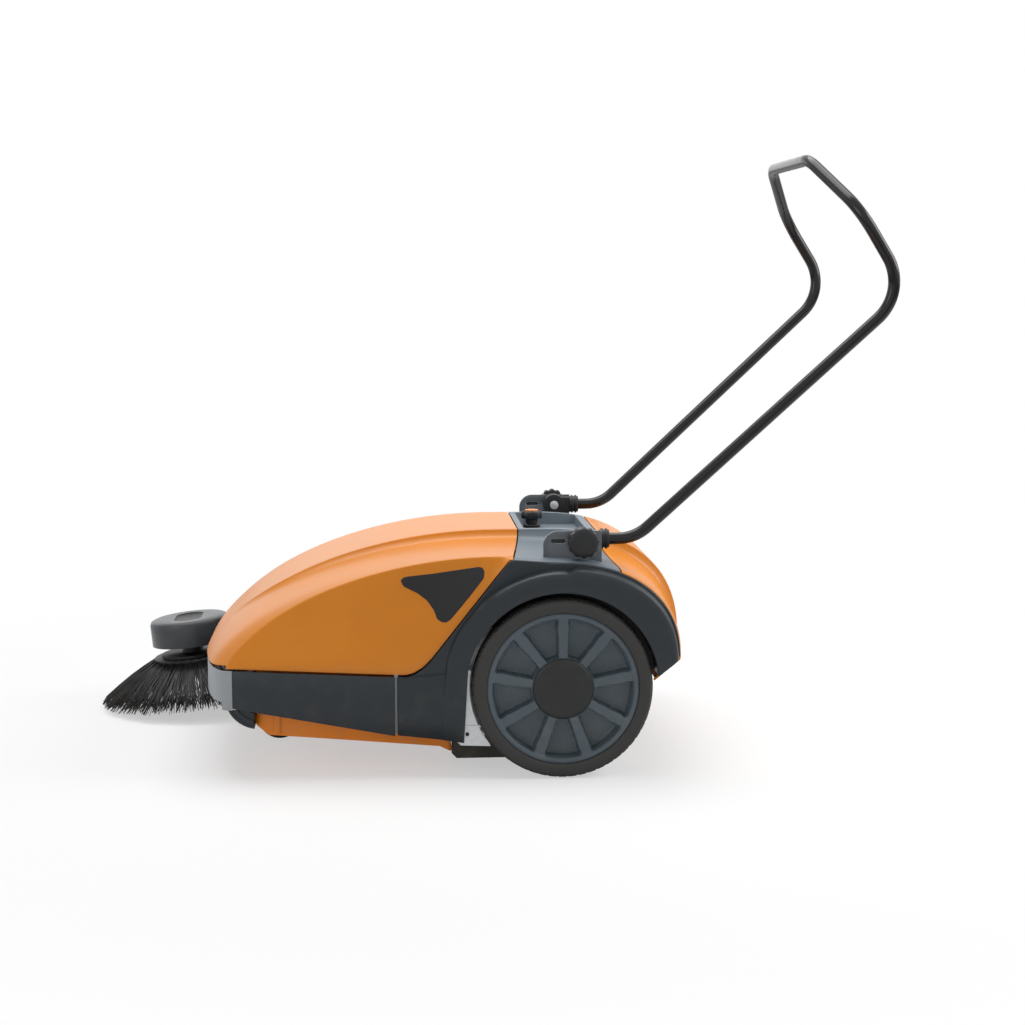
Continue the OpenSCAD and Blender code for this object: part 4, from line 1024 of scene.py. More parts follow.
@dataclass
class SideBrush:
    """The round side brush: tufts of stiff fibre splayed from a plate on a leaning axis."""

    mesher: Mesher
    tilt: float = 6.0
    top: Point = (-667.0, 284.0, 171.5)
    reach: float = 185.0
    tip_depth: float = 152.5
    plate_depth: float = -72.0
    tufts: int = 28
    fibres: int = 34
    spread: float = 8.0
    root_spread: float = 3.0
    shortest: float = 0.17
    root_angle: float = 0.045
    tip_angle: float = 0.075
    stray: float = 0.05
    sag: float = 4.0
    root_r: float = 0.0010
    tip_r: float = 0.0006
    ring_profile: tuple[tuple[float, float], ...] = (
        (42, 0), (73.5, 0), (75.0, -1.5), (74.5, -6), (71.5, -8), (44, -9), (42, -7),
    )
    socket_lip: float = 0.7
    socket_steps: int = 4
    recess_half: float = 20.0
    recess_r: float = 26.0
    recess_turns: int = 72
    recess_rings: tuple[tuple[float, float], ...] = ((-2.9, 0.4), (-1.6, 0.4), (-1.6, 2.0), (-2.6, 3.6))
    seed: int = 11

    def local(self, x: float, y: float, z: float) -> Vector:
        """Return a point of the brush's own leaning frame as a point of the frame."""
        lean = math.radians(self.tilt)
        return at(
            self.top[0] + x * math.cos(lean) - z * math.sin(lean),
            self.top[1] + y,
            self.top[2] + x * math.sin(lean) + z * math.cos(lean),
        )

    def fibre_path(self, around: float, inner: float, reach: float, depth: float, lag: float) -> list[Vector]:
        """Return the path of one fibre.

        Args:
            around: The angle of its root in radians.
            inner: The radius of its root.
            reach: The radius of its tip.
            depth: The depth of its tip under the cap's top.
            lag: How far its tip trails its root, in radians.

        Returns:
            Five points that bow outwards and trail slightly.
        """
        path = []
        for i in range(5):
            t = i / 4
            radius = mix(inner, reach, t)
            sag = self.sag * math.sin(math.pi * t)
            angle = around + lag * t * t
            path.append(self.local(radius * math.cos(angle), radius * math.sin(angle),
                                   mix(self.plate_depth - 3, -depth, t) + sag))
        return path

    def build(self) -> None:
        """Make the splayed fibres and the ring that holds them."""
        chance = random.Random(self.seed)
        bundle = FibreBundle()
        rows = ((71.0, self.reach - 1.0, self.tip_depth - 1.0), (66.0, 172.0, self.tip_depth - 3.0),
                (58.0, 150.0, self.tip_depth - 6.0))
        for row, (inner, reach, depth) in enumerate(rows):
            for i in range(self.tufts):
                middle = 2 * math.pi * (i + 0.5 * row) / self.tufts
                for _ in range(self.fibres):
                    away = chance.uniform(-1, 1)
                    along_tuft = chance.uniform(-1, 1)
                    length = 1 - self.shortest * chance.random() ** 2
                    root = middle + away * self.root_angle
                    tip = away * self.tip_angle + chance.uniform(-self.stray, self.stray)
                    end = mix(inner, reach + along_tuft * self.spread * (1 if row else 0) - 1, length)
                    low = mix(-self.plate_depth, depth - 2 - 7 * abs(along_tuft), length)
                    path = self.fibre_path(root, inner + along_tuft * self.root_spread, end, low, tip)
                    bundle.add(path, self.root_r, self.tip_r)
        made = self.mesher.piece("side_brush_fibres", bundle.points, bundle.faces, Finish.FIBRE, "side_brush")
        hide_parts("side_brush_bristles")
        self.hold_ring()

    def hold_ring(self) -> None:
        """Make the moulded ring that the tufts are set in, with a socket lip for each tuft."""
        points = []
        for j, angle in enumerate(ring(self.tufts * self.socket_steps)):
            lip = self.socket_lip if j % self.socket_steps < self.socket_steps / 2 else 0.0
            for radius, drop in self.ring_profile:
                out = radius + (lip if radius > 56 and drop < -1 else 0.0)
                points.append(self.local(out * math.cos(angle), out * math.sin(angle), self.plate_depth + drop))
        faces = self.mesher.grid_faces(self.tufts * self.socket_steps, len(self.ring_profile), around=True, shut=True)
        made = self.mesher.piece("side_brush_ring", points, faces, Finish.BLACK, "side_brush")
        self.mesher.shade(made)
        self.recess()

    def recess(self) -> None:
        """Line the oval hand recess in the cap's top with a black insert, painted shade for the dark inside of the
        recess.
        """
        points = []
        count = self.recess_turns
        for z, inset in self.recess_rings:
            radius = self.recess_r - inset
            for turn in ring(count):
                end = self.recess_half if math.sin(turn) >= 0 else -self.recess_half
                points.append(self.local(radius * math.cos(turn), end + radius * math.sin(turn), z))
        faces = self.mesher.grid_faces(len(self.recess_rings), count, around=True)
        faces.append(tuple(range(count)))
        faces.append(tuple(len(points) - count + i for i in reversed(range(count))))
        # The black insert is painted shade: it darkens the recess where shade falls.
        made = self.mesher.piece("cap_recess_shade", points, faces, Finish.BLACK, "brush_arm")
        self.mesher.shade(made)


@dataclass
class RollerBrush:
    """The main brush: rows of tufts that sweep from both ends towards the middle."""

    mesher: Mesher
    axis_x: float = -70.711
    axis_z: float = 125.0
    core: float = 32.0
    reach: float = 123.5
    half: float = 232.5
    twist: float = 75.0
    rows: int = 8
    tufts: int = 22
    fibres: int = 12
    scatter: float = 4.0
    lean: float = 0.045
    shortest: float = 3.0
    tip_scatter: float = 2.0
    root_r: float = 0.0011
    tip_r: float = 0.0008
    seed: int = 5

    def build(self) -> None:
        """Make both halves' fibres as one piece."""
        chance = random.Random(self.seed)
        bundle = FibreBundle()
        for side in (-1, 1):
            for row in range(self.rows):
                for i in range(self.tufts):
                    out = (i + 0.5) / self.tufts
                    for _ in range(self.fibres):
                        self.add_fibre(bundle, chance, side, row, out)
        made = self.mesher.piece("roller_fibres", bundle.points, bundle.faces, Finish.FIBRE, "roller")
        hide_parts("roller_bristles")

    def add_fibre(self, bundle: FibreBundle, chance: random.Random, side: int, row: int, out: float) -> None:
        """Add one fibre of a tuft.

        Args:
            bundle: Where it goes.
            chance: The seeded source of its small differences.
            side: -1 for the left half, 1 for the right.
            row: The number of its row.
            out: The tuft's place from the middle, 0, to the brush's end, 1.
        """
        base = math.radians(row * 360 / self.rows - self.twist * out)
        along_axis = out * self.half + chance.uniform(-self.scatter, self.scatter)
        along_axis = min(max(along_axis, 1.0), self.half - 1.0)
        lean = chance.uniform(-self.lean, self.lean)
        reach = self.reach - 0.5 - self.shortest * chance.random() ** 2
        path = []
        for t in (0.0, 0.55, 1.0):
            radius = mix(self.core - 2, reach, t)
            angle = base + mix(lean * 1.6, lean, t)
            y = side * (along_axis + chance.uniform(-self.tip_scatter, self.tip_scatter) * t)
            y = max(-self.half, min(self.half, y))
            path.append(at(self.axis_x + radius * math.cos(angle), y, self.axis_z + radius * math.sin(angle)))
        bundle.add(path, self.root_r, self.tip_r)


# ---------------------------------------------------------------------------
# Sub-assemblies
# ---------------------------------------------------------------------------


@dataclass
class DeckPanel:
    """The dark panel between hood and rear cover, with its sunk tray."""

    mesher: Mesher
    shell: BodyShell
    tray_half: float = 106.0
    tray_wall: float = 4.0
    tray_drop: float = 22.0
    stations: tuple[float, ...] = (-59.5, -50, -45, -30, -15, 0, 15, 30, 45, 61, 62, 66, 70, 74, 78)
    tray_from: float = -45.0
    tray_to: float = 61.0
    tray_rim: float = 2.0
    wall: float = 3.5
    edge: float = 1.6

    def row(self, x: float, sunk: bool) -> list[Vector]:
        """Return one cross-section of the panel.

        Args:
            x: Its place at the middle.
            sunk: Whether the tray runs through it.

        Returns:
            The same number of points for every section, from the left foot to the right.
        """
        lines = self.shell.lines
        full = self.shell.section(lines.deck_line, x)
        middle = len(full) // 2
        inner = [i for i, p in enumerate(full) if abs(p.y) <= lines.ridge_half - self.shell.ridge_fold - 0.01]
        first, last = inner[0], inner[-1]
        reach = [self.tray_half * share for share in (0, 0.25, 0.5, 0.75, 1)]
        tops = [self.tray_half + self.tray_wall, self.tray_half + self.tray_wall + self.tray_rim]
        level = full[middle].z
        low = lines.top_z - self.tray_drop if sunk else level
        heights = [low] * len(reach) + [level] * len(tops)
        half = [Vector((full[middle].x, y, z)) for y, z in zip(reach + tops, heights)]
        pan = [Vector((p.x, -p.y, p.z)) for p in reversed(half[1:])] + half
        return full[:first] + pan + full[last + 1:]

    def build(self) -> None:
        """Make the panel."""
        rows = [self.row(x, self.tray_from <= x <= self.tray_to) for x in self.stations]
        points = [at(p.x, p.y, p.z) for row in rows for p in row]
        made = self.mesher.piece(
            "deck_panel", points, self.mesher.grid_faces(len(rows), len(rows[0])), Finish.DECK, "chassis"
        )
        self.mesher.turn_out(made.data, UP)
        self.mesher.thicken(made, self.wall)
        self.mesher.shade(made, 50.0)
        self.mesher.soften(made, self.edge * MM, 50.0, 3)
        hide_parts("deck")


@dataclass
class Fenders:
    """The dark panels round the wheels: a raised arch, a guard over the tyre and a flat leg ahead of it."""

    mesher: Mesher
    lines: BodyLines
    axle_z: float = 150.0
    arch_r: float = 159.0
    seam: float = 3.0
    leg_x: float = -272.0
    leg_foot: tuple[float, ...] = (73.0, 105.0, 138.0)
    leg_inner: tuple[tuple[float, float], ...] = ((-163, 60), (-161, 95), (-159, 128), (-157.5, 160))
    panel_y: float = 301.0
    arch_y: float = 321.6
    guard_y: float = 269.0
    crest: float = 35.0
    crest_rear: float = 56.0
    notch_angle: float = 86.0
    notch_depth: float = 5.0
    notch_fade: float = 2.5
    fade: tuple[float, float] = (-96.0, -205.0)
    top_clear: float = 1.5
    side_rows: int = 33
    arch_rows: int = 43
    crest_x: tuple[float, ...] = (-80, -64, -48, -32)
    wall: float = 2.5
    well_r: tuple[float, float] = (159.0, 131.0)
    well_turns: tuple[float, float] = (8.0, 140.0)
    well_y: tuple[float, float] = (262.5, 264.5)
    slot_x: tuple[float, float] = (-13.0, 5.0)
    slot_z: float = 388.0
    slot_r: float = 3.3
    slot_y: tuple[float, float] = (263.6, 264.8)
    strip: tuple[tuple[float, float], ...] = ((-278.0, 76.0), (-277.0, 174.0), (-271.0, 174.0), (-272.0, 75.0))
    strip_y: tuple[float, float] = (294.0, 297.6)
    sheet_clear: float = 6.0
    sheet_heights: tuple[float, ...] = (178, 165, 150, 130, 110, 92, 76, 62, 56)
    sheet_y: tuple[float, float] = (291.2, 292.6)
    screw: Point = (-157.0, 71.0, 3.2)
    fold: tuple[tuple[float, float], ...] = ((-176.0, 86.0), (-131.0, 86.0), (-131.0, 82.5), (-176.0, 82.5))
    raised_y: tuple[float, float] = (292.5, 294.4)

    def outer_edge(self) -> list[Vector]:
        """Return the panel's outer edge, from its front foot up and over the wheel to its rear end."""
        lines = self.lines
        edge = [Vector((self.leg_x, 0.0, z)) for z in self.leg_foot]
        for i in range(self.side_rows + 1):
            x = mix(self.leg_x, -88.0, i / self.side_rows)
            edge.append(Vector((x, 0.0, lines.side_foot(x) - self.seam)))
        edge += [Vector((x, 0.0, lines.shoulder_at(x) - self.seam)) for x in self.crest_x]
        reach = lines.tail_len - lines.tail_sweep - self.seam - self.top_clear
        height = lines.top_z - lines.tail_z - lines.shoulder_drop - lines.tail_drop - self.seam - self.top_clear
        for i in range(self.arch_rows + 1):
            angle = math.radians(mix(90, 2.0, i / self.arch_rows))
            edge.append(Vector((lines.tail_x + reach * math.cos(angle) ** (2 / lines.shoulder_power), 0.0,
                                lines.tail_z + height * math.sin(angle) ** (2 / lines.shoulder_power))))
        return edge

    def inner_point(self, outer: Vector) -> Vector:
        """Return the point of the arch's edge that faces a point of the outer edge."""
        angle = math.degrees(math.atan2(outer.z - self.axle_z, outer.x))
        if angle > 160:
            angle = 160 + (angle - 160) * 0.56
        if angle < 30:
            angle = 30 - (30 - angle) * 1.45
        turn = math.radians(angle)
        return Vector((self.arch_r * math.cos(turn), 0.0, self.axle_z + self.arch_r * math.sin(turn)))

    def profile(self, angle: float, width: float) -> list[tuple[float, float]]:
        """Return the panel's cross-section at one station.

        Args:
            angle: The station's angle about the axle in degrees.
            width: The panel's width there, from the arch's edge to the outer edge.

        Returns:
            Distances from the arch's edge, each with its distance from the middle plane.
        """
        behind = smooth((self.notch_angle - angle) / self.notch_fade)
        crest = mix(self.crest, mix(42.0, self.crest_rear, smooth((self.notch_angle - angle) / 30)), behind)
        crest = min(crest, width - 6)
        notch = self.notch_depth * max(0.0, 1 - abs(angle - self.notch_angle + 1) / 3.0)
        top = self.arch_y
        return [
            (0, self.guard_y), (0, top - 3.5), (1.0, top - 1.2), (3.5, top), (crest * 0.4, top),
            (crest * 0.75, top - 0.6), (crest - 5, top - 1.8), (crest - 2, top - 4), (crest - notch, top - 9),
            (crest + 0.6 - notch, self.panel_y + 3), (crest + 2.4 - notch, self.panel_y),
            (mix(crest, width, 0.6), self.panel_y), (width - 1.2, self.panel_y), (width, self.panel_y - 1.2),
            (width, self.panel_y - 12),
        ]

    def stations(self) -> list[list[Vector]]:
        """Return the panel's cross-sections from its front foot to its rear end, on the left side."""
        edge = self.outer_edge()
        inner = [Vector((x, 0.0, z)) for x, z in self.leg_inner]
        rows = []
        for i, outer in enumerate(edge):
            near = inner[i] if i < len(inner) else self.inner_point(outer)
            across = outer - near
            width = across.length
            angle = math.degrees(math.atan2(outer.z - self.axle_z, outer.x)) if i >= len(inner) else 180.0
            row = []
            for away, y in self.profile(angle, width):
                place = near + across * (away / width)
                limit = mix(self.arch_y, self.panel_y, (place.x - self.fade[0]) / (self.fade[1] - self.fade[0]))
                limit = max(self.panel_y, min(self.arch_y, limit))
                y = min(y, limit if y < self.arch_y - 1 else limit + 0.2)
                if i < len(inner) and away == 0 and y < self.panel_y - 3:
                    y = self.panel_y - 12
                row.append(Vector((place.x, -y, place.z)))
            rows.append(row)
        return rows

    def build(self) -> None:
        """Make both panels."""
        rows = self.stations()
        for side, name in ((1, "left"), (-1, "right")):
            points = [at(p.x, side * p.y, p.z) for row in rows for p in row]
            made = self.mesher.piece(
                f"fender_panel_{name}", points, self.mesher.grid_faces(len(rows), len(rows[0])),
                Finish.GRAPHITE, "chassis",
            )
            self.mesher.turn_out(made.data, Vector((0.0, -side, 0.0)))
            self.mesher.thicken(made, self.wall)
            self.mesher.shade(made, 38.0)
            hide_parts(f"fender_{name}")
            self.arch_sheet(side, name)
            self.seam_strip(side, name)
            self.well_liner(side, name)
            self.slot_shade_plate(side, name)

    def well_liner(self, side: int, name: str) -> None:
        """Close the wheel well behind the tyre's shoulder with a dark curved sheet.

        Args:
            side: 1 for the left side, -1 for the right.
            name: The side's name.
        """
        turns = [math.radians(mix(*self.well_turns, i / 36)) for i in range(37)]
        outline = [
            (r * math.cos(a), self.axle_z + r * math.sin(a))
            for r, row in zip(self.well_r, (turns, turns[::-1]))
            for a in row
        ]
        self.mesher.plate(f"well_liner_{name}", outline, self.well_y, side, Finish.BLACK, "chassis")

    def slot_shade_plate(self, side: int, name: str) -> None:
        """Fill the slot of a handle bracket with a black plate, painted shade for the dark inside of the slot.

        Args:
            side: 1 for the left side, -1 for the right.
            name: The side's name.
        """
        outline = [
            (self.slot_x[math.cos(a) > 0] + self.slot_r * math.cos(a), self.slot_z + self.slot_r * math.sin(a))
            for a in ring(24, 0.5)
        ]
        # The black plate is painted shade: it darkens the slot where shade falls.
        self.mesher.plate(f"slot_shade_plate_{name}", outline, self.slot_y, side, Finish.BLACK, "chassis")

    def seam_strip(self, side: int, name: str) -> None:
        """Make the pale strip that closes the joint between a fender's leg and the skirt.

        Args:
            side: 1 for the left side, -1 for the right.
            name: The side's name.
        """
        self.mesher.plate(f"joint_strip_{name}", self.strip, self.strip_y, side, Finish.BUMPER, "chassis")

    def arch_sheet(self, side: int, name: str) -> None:
        """Make the plated sheet seen between a fender's leg and the tyre, with its screw.

        Args:
            side: 1 for the left side, -1 for the right.
            name: The side's name.
        """
        clear = self.arch_r - self.sheet_clear
        arc = [(-math.sqrt(clear ** 2 - (z - self.axle_z) ** 2), z) for z in self.sheet_heights]
        outline = [(-176.0, 178.0), *arc, (-118.0, 50.0), (-168.0, 52.0), (-176.0, 60.0)]
        made = self.mesher.plate(f"arch_sheet_{name}", outline, self.sheet_y, side, Finish.ZINC, "chassis")
        self.mesher.shade(made, 30.0)
        x, z, r = self.screw
        head = [(x + r * math.cos(a), z + r * math.sin(a)) for a in ring(16)]
        self.mesher.plate(f"arch_sheet_screw_{name}", head, self.raised_y, side, Finish.BLACK, "chassis")
        self.mesher.plate(f"arch_sheet_fold_{name}", self.fold, self.raised_y, side, Finish.ZINC, "chassis")


@dataclass
class SpokedRim:
    """A wheel's moulded disc as a relief on a polar grid, closed behind by its barrel."""

    mesher: Mesher
    axle_z: float = 150.0
    radius: float = 126.0
    hub_r: float = 51.5
    bore_r: float = 10.1
    ring_w: float = 9.5
    spokes: int = 9
    spoke_half: float = 6.6
    spoke_flare: float = 2.4
    face_y: float = 315.0
    rim_y: float = 319.0
    web_y: float = 298.0
    slope: float = 3.2
    round_in: float = 5.0
    lip: float = 1.3
    edge_drop: float = 2.4
    face_from: float = 22.0
    face_rings: int = 62
    turns: int = 360

    def relief(self, r: float, angle: float) -> float:
        """Return how far the disc's face stands from the middle plane.

        Args:
            r: The radius in millimetres.
            angle: The angle from a spoke's middle in radians.

        Returns:
            The face's distance from the middle plane.
        """
        reach = (r - self.hub_r) / (self.radius - self.ring_w - self.hub_r)
        spoke = abs(r * math.sin(angle)) - self.spoke_half - self.spoke_flare * clamp01(reach)
        outer = self.radius - self.ring_w - r
        hub = r - self.hub_r
        near = self.soft_least(self.soft_least(spoke, outer), hub)
        fall = smooth(near / self.slope)
        lip = self.lip * smooth((near - self.slope - 2.6) / 1.4)
        top = mix(self.face_y, self.rim_y - 0.8, smooth((r - self.radius + self.ring_w + 2) / 5))
        edge = self.edge_drop * smooth((r - self.radius + 2.6) / 2.6)
        return mix(top, self.web_y, fall) - lip - edge

    def soft_least(self, a: float, b: float) -> float:
        """Return the lesser of two distances, rounded where they are alike."""
        share = clamp01(0.5 + 0.5 * (b - a) / self.round_in)
        return mix(b, a, share) - self.round_in * share * (1 - share) * 0.55

    def build(self, side: int, name: str) -> None:
        """Make one disc.

        Args:
            side: -1 for the left wheel, 1 for the right.
            name: The side's name.
        """
        pitch = 2 * math.pi / self.spokes
        turns = ring(self.turns)
        rows = []
        for i in range(self.face_rings):
            r = mix(self.face_from, self.radius, i / (self.face_rings - 1))
            off_spoke = [(turn - math.pi / 2 + pitch / 2) % pitch - pitch / 2 for turn in turns]
            rows.append([(r, self.relief(r, angle)) for angle in off_spoke])
        back = [(self.radius, 300.0), (self.radius, 269.5), (self.radius - 5, 269.5),
                (self.radius - 16, 292.5), (70.0, 296.0), (24.0, 296.0), (24.0, 268.5),
                (self.bore_r, 268.5), (self.bore_r, 309.0), (20.0, 309.0)]
        rows += [[place] * self.turns for place in back]
        points = [
            at(r * math.cos(turn), side * y, self.axle_z + r * math.sin(turn))
            for row in rows
            for (r, y), turn in zip(row, turns)
        ]
        faces = self.mesher.grid_faces(len(rows), self.turns, around=True, shut=True)
        made = self.mesher.piece(f"spoked_disc_{name}", points, faces, Finish.RIM, f"wheel_{name}")
        self.mesher.shade(made, 34.0)
        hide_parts(f"rim_{name}")


@dataclass
class HeightKnob:
    """The brush height knob: a six-lobed grip on a round neck, just clear of the tray's floor."""

    mesher: Mesher
    place: tuple[float, float] = (-21.0, 70.0)
    foot_z: float = 369.4
    top_z: float = 398.2
    lobes: int = 6
    grip_r: float = 17.4
    lobe: float = 1.6
    neck_r: float = 11.0
    foot_r: float = 16.0
    turns: int = 144

    def build(self) -> None:
        """Make the knob as rings from its foot to its hollow top."""
        low, high = self.foot_z, self.top_z
        rings = [(8.0, low, 0), (self.foot_r - 0.8, low, 0), (self.foot_r, low + 0.8, 0),
                 (self.foot_r, low + 3, 0), (self.foot_r - 1.2, low + 4.4, 0),
                 (self.neck_r, low + 6.5, 0), (self.neck_r, high - 15.5, 0),
                 (self.grip_r - 2.4, high - 14.6, 0.8), (self.grip_r - 0.6, high - 13.8, 1),
                 (self.grip_r, high - 12.6, 1), (self.grip_r, high - 3.4, 1),
                 (self.grip_r - 0.8, high - 1.6, 1), (self.grip_r - 2.4, high - 0.6, 0.8),
                 (13.4, high, 0), (12.4, high - 0.5, 0), (12.1, high - 3.0, 0), (8.0, high - 3.2, 0)]
        points = []
        for r, z, share in rings:
            for turn in ring(self.turns):
                out = r + self.lobe * share * math.cos(self.lobes * turn)
                points.append(at(self.place[0] + out * math.cos(turn), self.place[1] + out * math.sin(turn), z))
        faces = self.mesher.grid_faces(len(rings), self.turns, around=True, shut=True)
        made = self.mesher.piece("height_knob_grip", points, faces, Finish.KNOB, "adjuster")
        self.mesher.shade(made, 34.0)
        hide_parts("adjuster_knob")


@dataclass
class HandleTube:
    """The bent tube, swept as one smooth round skin through its rounded corners."""

    mesher: Mesher
    radius: float = 10.0
    corners: tuple[Point, ...] = (
        (68.3, -245.0, 389.0), (126.0, -245.0, 389.0), (569.0, -280.0, 798.0), (487.0, -282.0, 930.0),
        (430.0, -150.0, 1018.0),
    )
    bends: tuple[float, ...] = (72.0, 80.0, 88.0, 74.0)
    around: int = 28

    def bend(self, before: Vector, corner: Vector, after: Vector, radius: float) -> list[Vector]:
        """Return the points of a round bend between two straight runs.

        Args:
            before: A point of the run that arrives.
            corner: Where the two runs' lines meet.
            after: A point of the run that leaves.
            radius: The bend's radius.

        Returns:
            Points from where the bend starts to where it ends.
        """
        come, leave = (before - corner).normalized(), (after - corner).normalized()
        half = come.angle(leave) / 2
        middle = corner + (come + leave).normalized() * (radius / math.sin(half))
        start = corner + come * (radius / math.tan(half)) - middle
        end = corner + leave * (radius / math.tan(half)) - middle
        whole = start.angle(end)
        steps = max(6, int(math.degrees(whole) / 4))
        return [
            middle + (start * math.sin(whole * (1 - i / steps)) + end * math.sin(whole * i / steps)) / math.sin(whole)
            for i in range(steps + 1)
        ]

    def path(self) -> list[Vector]:
        """Return the tube's middle line from its left end to its right one."""
        left = [Vector(c) for c in self.corners]
        mirror = [Vector((p.x, -p.y, p.z)) for p in reversed(left)]
        whole = left + mirror
        radii = [0.0, *self.bends, *reversed(self.bends), 0.0]
        line = [whole[0]]
        for before, corner, after, radius in zip(whole, whole[1:], whole[2:], radii[1:]):
            line += self.bend(before, corner, after, radius)
        return line + [whole[-1]]

    def build(self) -> None:
        """Sweep the tube."""
        line = [at(p.x, p.y, p.z) for p in self.path()]
        side = UP
        points = []
        count = len(line)
        for i, place in enumerate(line):
            ahead = (line[min(i + 1, count - 1)] - line[max(i - 1, 0)]).normalized()
            side = (side - ahead * side.dot(ahead)).normalized()
            other = ahead.cross(side)
            for turn in ring(self.around):
                points.append(place + (side * math.cos(turn) + other * math.sin(turn)) * (self.radius * MM))
        faces = self.mesher.grid_faces(count, self.around, around=True)
        faces.append(tuple(reversed(range(self.around))))
        faces.append(tuple((count - 1) * self.around + s for s in range(self.around)))
        made = self.mesher.piece("handle_bar", points, faces, Finish.TUBE, "handle")
        self.mesher.shade(made, SOLID_TURN)
        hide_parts("handle_tube")


Dressing = tuple[Finish, float, tuple[str, ...]]


@dataclass
class SubAssembly:
    """Solids that keep their own shape, each group with its finish and its edge rounding in millimetres."""

    mesher: Mesher
    solids: tuple[Dressing, ...] = ()

    def build(self) -> None:
        """Dress every solid of the sub-assembly."""
        for finish, width, nodes in self.solids:
            for node in nodes:
                self.mesher.keep(node, finish, width)


@dataclass
class Chassis(SubAssembly):
    """Everything fixed to the frame apart from the orange body shell."""

    solids: tuple[Dressing, ...] = (
        (Finish.GRAPHITE, 1.0, ("skirt_left", "skirt_right", "apron", "brush_tunnel")),
        (Finish.BUMPER, 1.4, ("front_bumper",)),
        (Finish.TUB, 1.6, ("hopper",)),
        (Finish.ZINC, 0.5, ("side_plate_left", "side_plate_right", "frame_rail_left", "frame_rail_right",
                            "front_crossmember", "rear_crossmember", "flap_clamps", "stub_axles",
                            "brush_bearings", "hinge_base", "handle_bolts", "arm_bracket", "chassis_screws")),
        (Finish.BRACKET, 0.6, ("handle_bracket_left", "handle_bracket_right")),
        (Finish.ZINC, 0.0, ("hinge_pins",)),
        (Finish.SEAL, 0.3, ("side_flap_left", "side_flap_right", "rear_flap")),
        (Finish.BELT, 0.0, ("long_belt",)),
    )


@dataclass
class Wheels(SubAssembly):
    """Both drive wheels, their gears, the brush pinions and the layshaft pulley."""

    solids: tuple[Dressing, ...] = (
        (Finish.TYRE, 0.7, ("tyre_left", "tyre_right")),
        (Finish.HUB, 0.0, ("hub_cap_left", "hub_cap_right")),
        (Finish.GEAR, 0.0, ("wheel_gear_left", "wheel_gear_right", "pinion_left", "pinion_right",
                            "layshaft_pulley")),
    )

    def build(self) -> None:
        """Dress the wheels and gears and make the spoked discs."""
        super().build()
        rim = SpokedRim(self.mesher)
        rim.build(-1, "left")
        rim.build(1, "right")


@dataclass
class Handle(SubAssembly):
    """The fold-down handle with its clamps, the height knob on the deck and the hood's hinge leaves."""

    solids: tuple[Dressing, ...] = (
        (Finish.BLACK, 0.8, ("handle_jaw_left", "handle_jaw_right", "clamp_knob_left", "clamp_knob_right")),
        (Finish.ORANGE, 0.8, ("adjuster_cap",)),
        (Finish.ZINC, 0.4, ("hinge_leaves",)),
    )

    def build(self) -> None:
        """Make the tube and the height knob and dress the rest."""
        HandleTube(self.mesher).build()
        super().build()
        HeightKnob(self.mesher).build()


@dataclass
class FrontGear(SubAssembly):
    """The side brush's arm, belt and head, the castor and the main brush's core."""

    solids: tuple[Dressing, ...] = (
        (Finish.ARM, 1.0, ("side_brush_arm",)),
        (Finish.BELT, 0.0, ("cross_belt",)),
        (Finish.BLACK, 0.8, ("side_brush_head",)),
        (Finish.ZINC, 0.5, ("castor_fork",)),
        (Finish.ZINC, 0.4, ("castor_axle", "roller_core")),
        (Finish.TYRE, 1.0, ("castor_wheel",)),
    )


# ---------------------------------------------------------------------------
# Studio
# ---------------------------------------------------------------------------


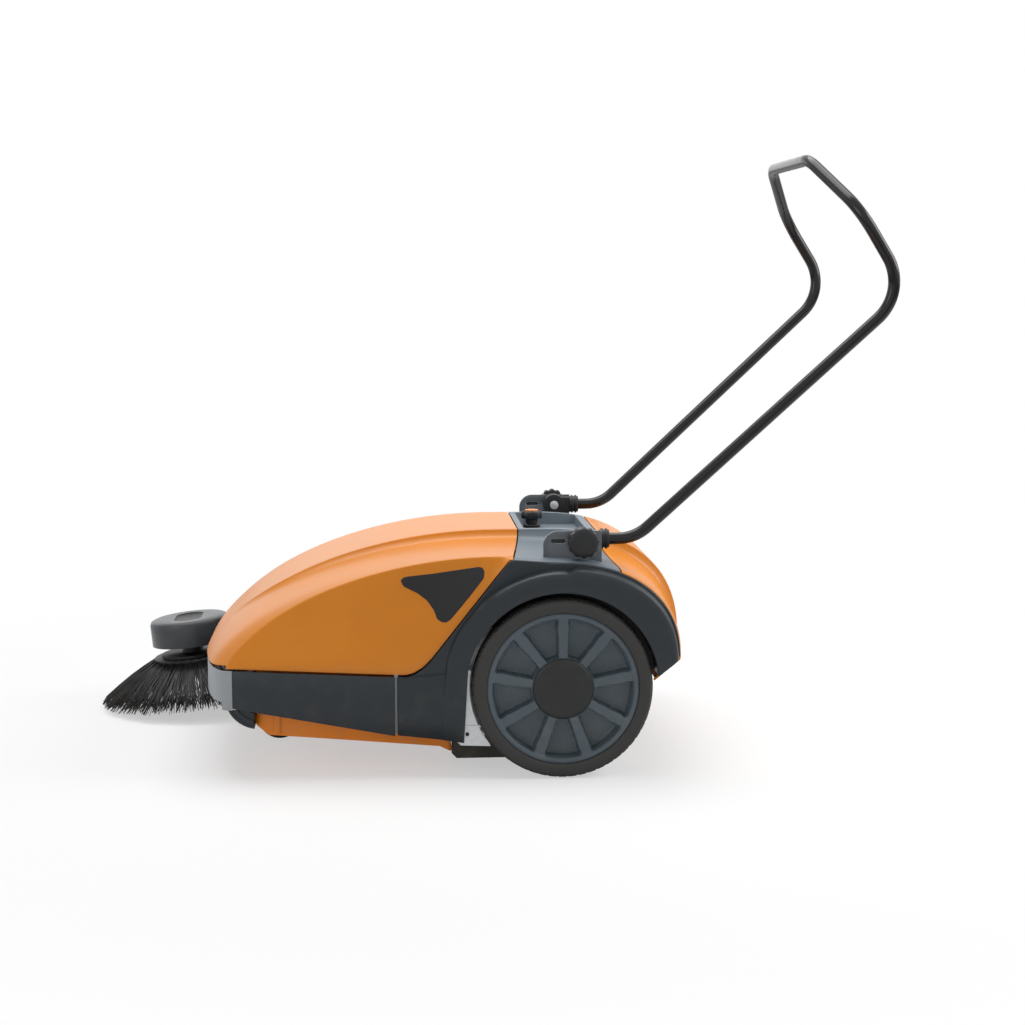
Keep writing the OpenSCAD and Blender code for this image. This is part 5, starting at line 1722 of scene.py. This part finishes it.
@dataclass
class Studio:
    """Camera, soft light and a pale floor that fades to the white backdrop."""

    lens: float = 66.42
    sensor: float = 36.0
    pitch: float = 82.93
    yaw: float = -4.10
    camera_place: Point = (-0.16168, -3.4235, 0.8201)
    floor_half: float = 14.0
    floor_steps: int = 28
    floor_tone: float = 0.9
    fade: tuple[float, float] = (0.75, 1.7)
    world_light: float = 0.34
    lamps: tuple[tuple[str, Point, tuple[float, float], float], ...] = (
        ("overhead_softbox", (-0.2, 0.5, 3.2), (3.0, 2.2), 74.0),
        ("front_softbox", (-2.6, -2.2, 1.7), (1.4, 1.4), 13.0),
        ("rear_softbox", (2.6, -0.5, 1.9), (1.6, 1.6), 42.0),
        ("back_softbox", (-0.3, 3.4, 1.3), (4.6, 1.6), 8.0),
    )

    def camera(self) -> None:
        """Place the camera."""
        lens = bpy.data.cameras.new("camera")
        lens.lens = self.lens
        lens.sensor_width = self.sensor
        lens.clip_end = 100.0
        camera = bpy.data.objects.new("camera", lens)
        camera.location = self.camera_place
        camera.rotation_euler = (math.radians(self.pitch), 0.0, math.radians(self.yaw))
        bpy.context.scene.collection.objects.link(camera)
        bpy.context.scene.camera = camera

    def lamp(self, name: str, place: Point, size: tuple[float, float], power: float) -> None:
        """Add a soft rectangular lamp aimed at the machine's middle.

        Args:
            name: The lamp's name.
            place: Where it stands.
            size: Its width and height in metres.
            power: Its power in watts.
        """
        light = bpy.data.lights.new(name, "AREA")
        light.shape = "RECTANGLE"
        light.size, light.size_y = size
        light.energy = power
        lamp = bpy.data.objects.new(name, light)
        lamp.location = place
        aim = Vector((0.0, 0.0, 0.3)) - Vector(place)
        lamp.rotation_euler = aim.to_track_quat("-Z", "Y").to_euler()
        bpy.context.scene.collection.objects.link(lamp)

    def world(self) -> None:
        """Light evenly from all round, with plain white where the camera or a reflection sees it."""
        world = bpy.data.worlds.new("studio")
        g = Graph(world)
        seen = g.node("ShaderNodeLightPath").outputs
        share: Any = seen["Is Camera Ray"]
        for ray in ("Is Glossy Ray", "Is Transmission Ray"):
            share = g.value("ShaderNodeMath", {"operation": "MAXIMUM"}, {0: share, 1: seen[ray]})
        soft, plain = (
            g.node("ShaderNodeBackground", None, {"Color": WHITE, "Strength": strength}).outputs[0]
            for strength in (self.world_light, 1.0)
        )
        both = g.node("ShaderNodeMixShader", None, {0: share, 1: soft, 2: plain})
        g.node("ShaderNodeOutputWorld", None, {0: both.outputs[0]})
        bpy.context.scene.world = world

    def floor(self) -> None:
        """Lay the floor, which takes the machine's shadow and turns to plain white further out."""
        steps = self.floor_steps
        places = [mix(-self.floor_half, self.floor_half, i / steps) for i in range(steps + 1)]
        points = [(x, y, 0.0) for x in places for y in places]
        mesh = bpy.data.meshes.new("floor")
        mesh.from_pydata(points, [], Mesher.grid_faces(steps + 1, steps + 1))
        if sum(p.normal.z for p in mesh.polygons) < 0:
            mesh.flip_normals()
        floor = bpy.data.objects.new("floor", mesh)
        bpy.context.scene.collection.objects.link(floor)
        g = Surface("studio_floor")
        g.set(Base_Color=shaded(WHITE, self.floor_tone), Roughness=0.85, Specular_IOR_Level=0.2)
        away = g.value("ShaderNodeVectorMath", {"operation": "LENGTH"}, {0: g.position()}, 1)
        seen = g.value("ShaderNodeLightPath", None, None, "Is Camera Ray")
        glow = g.node("ShaderNodeEmission", None, {"Color": WHITE, "Strength": 1.0})
        share = (away.ease(*self.fade) * 0.5 + 0.5) * seen
        both = g.node("ShaderNodeMixShader", None, {0: share, 1: g.shader.outputs[0], 2: glow.outputs[0]})
        g.feed(g.output.inputs[0], both.outputs[0])
        floor.data.materials.append(g.material)

    def build(self) -> None:
        """Set up the whole studio."""
        self.camera()
        self.world()
        for lamp in self.lamps:
            self.lamp(*lamp)
        self.floor()
        bpy.context.scene.view_settings.view_transform = "Standard"


def main() -> None:
    """Dress the whole machine and set up the studio."""
    logging.basicConfig(level=logging.INFO, format="%(name)s: %(message)s")
    mesher = Mesher(Finishes())
    shell = BodyShell(mesher)
    hood = shell.build()
    BadgePlates(mesher).build(hood)
    DeckPanel(mesher, shell).build()
    Fenders(mesher, shell.lines).build()
    Chassis(mesher).build()
    Wheels(mesher).build()
    Handle(mesher).build()
    FrontGear(mesher).build()
    SideBrush(mesher).build()
    RollerBrush(mesher).build()
    Studio().build()


if __name__ == "__main__":
    main()
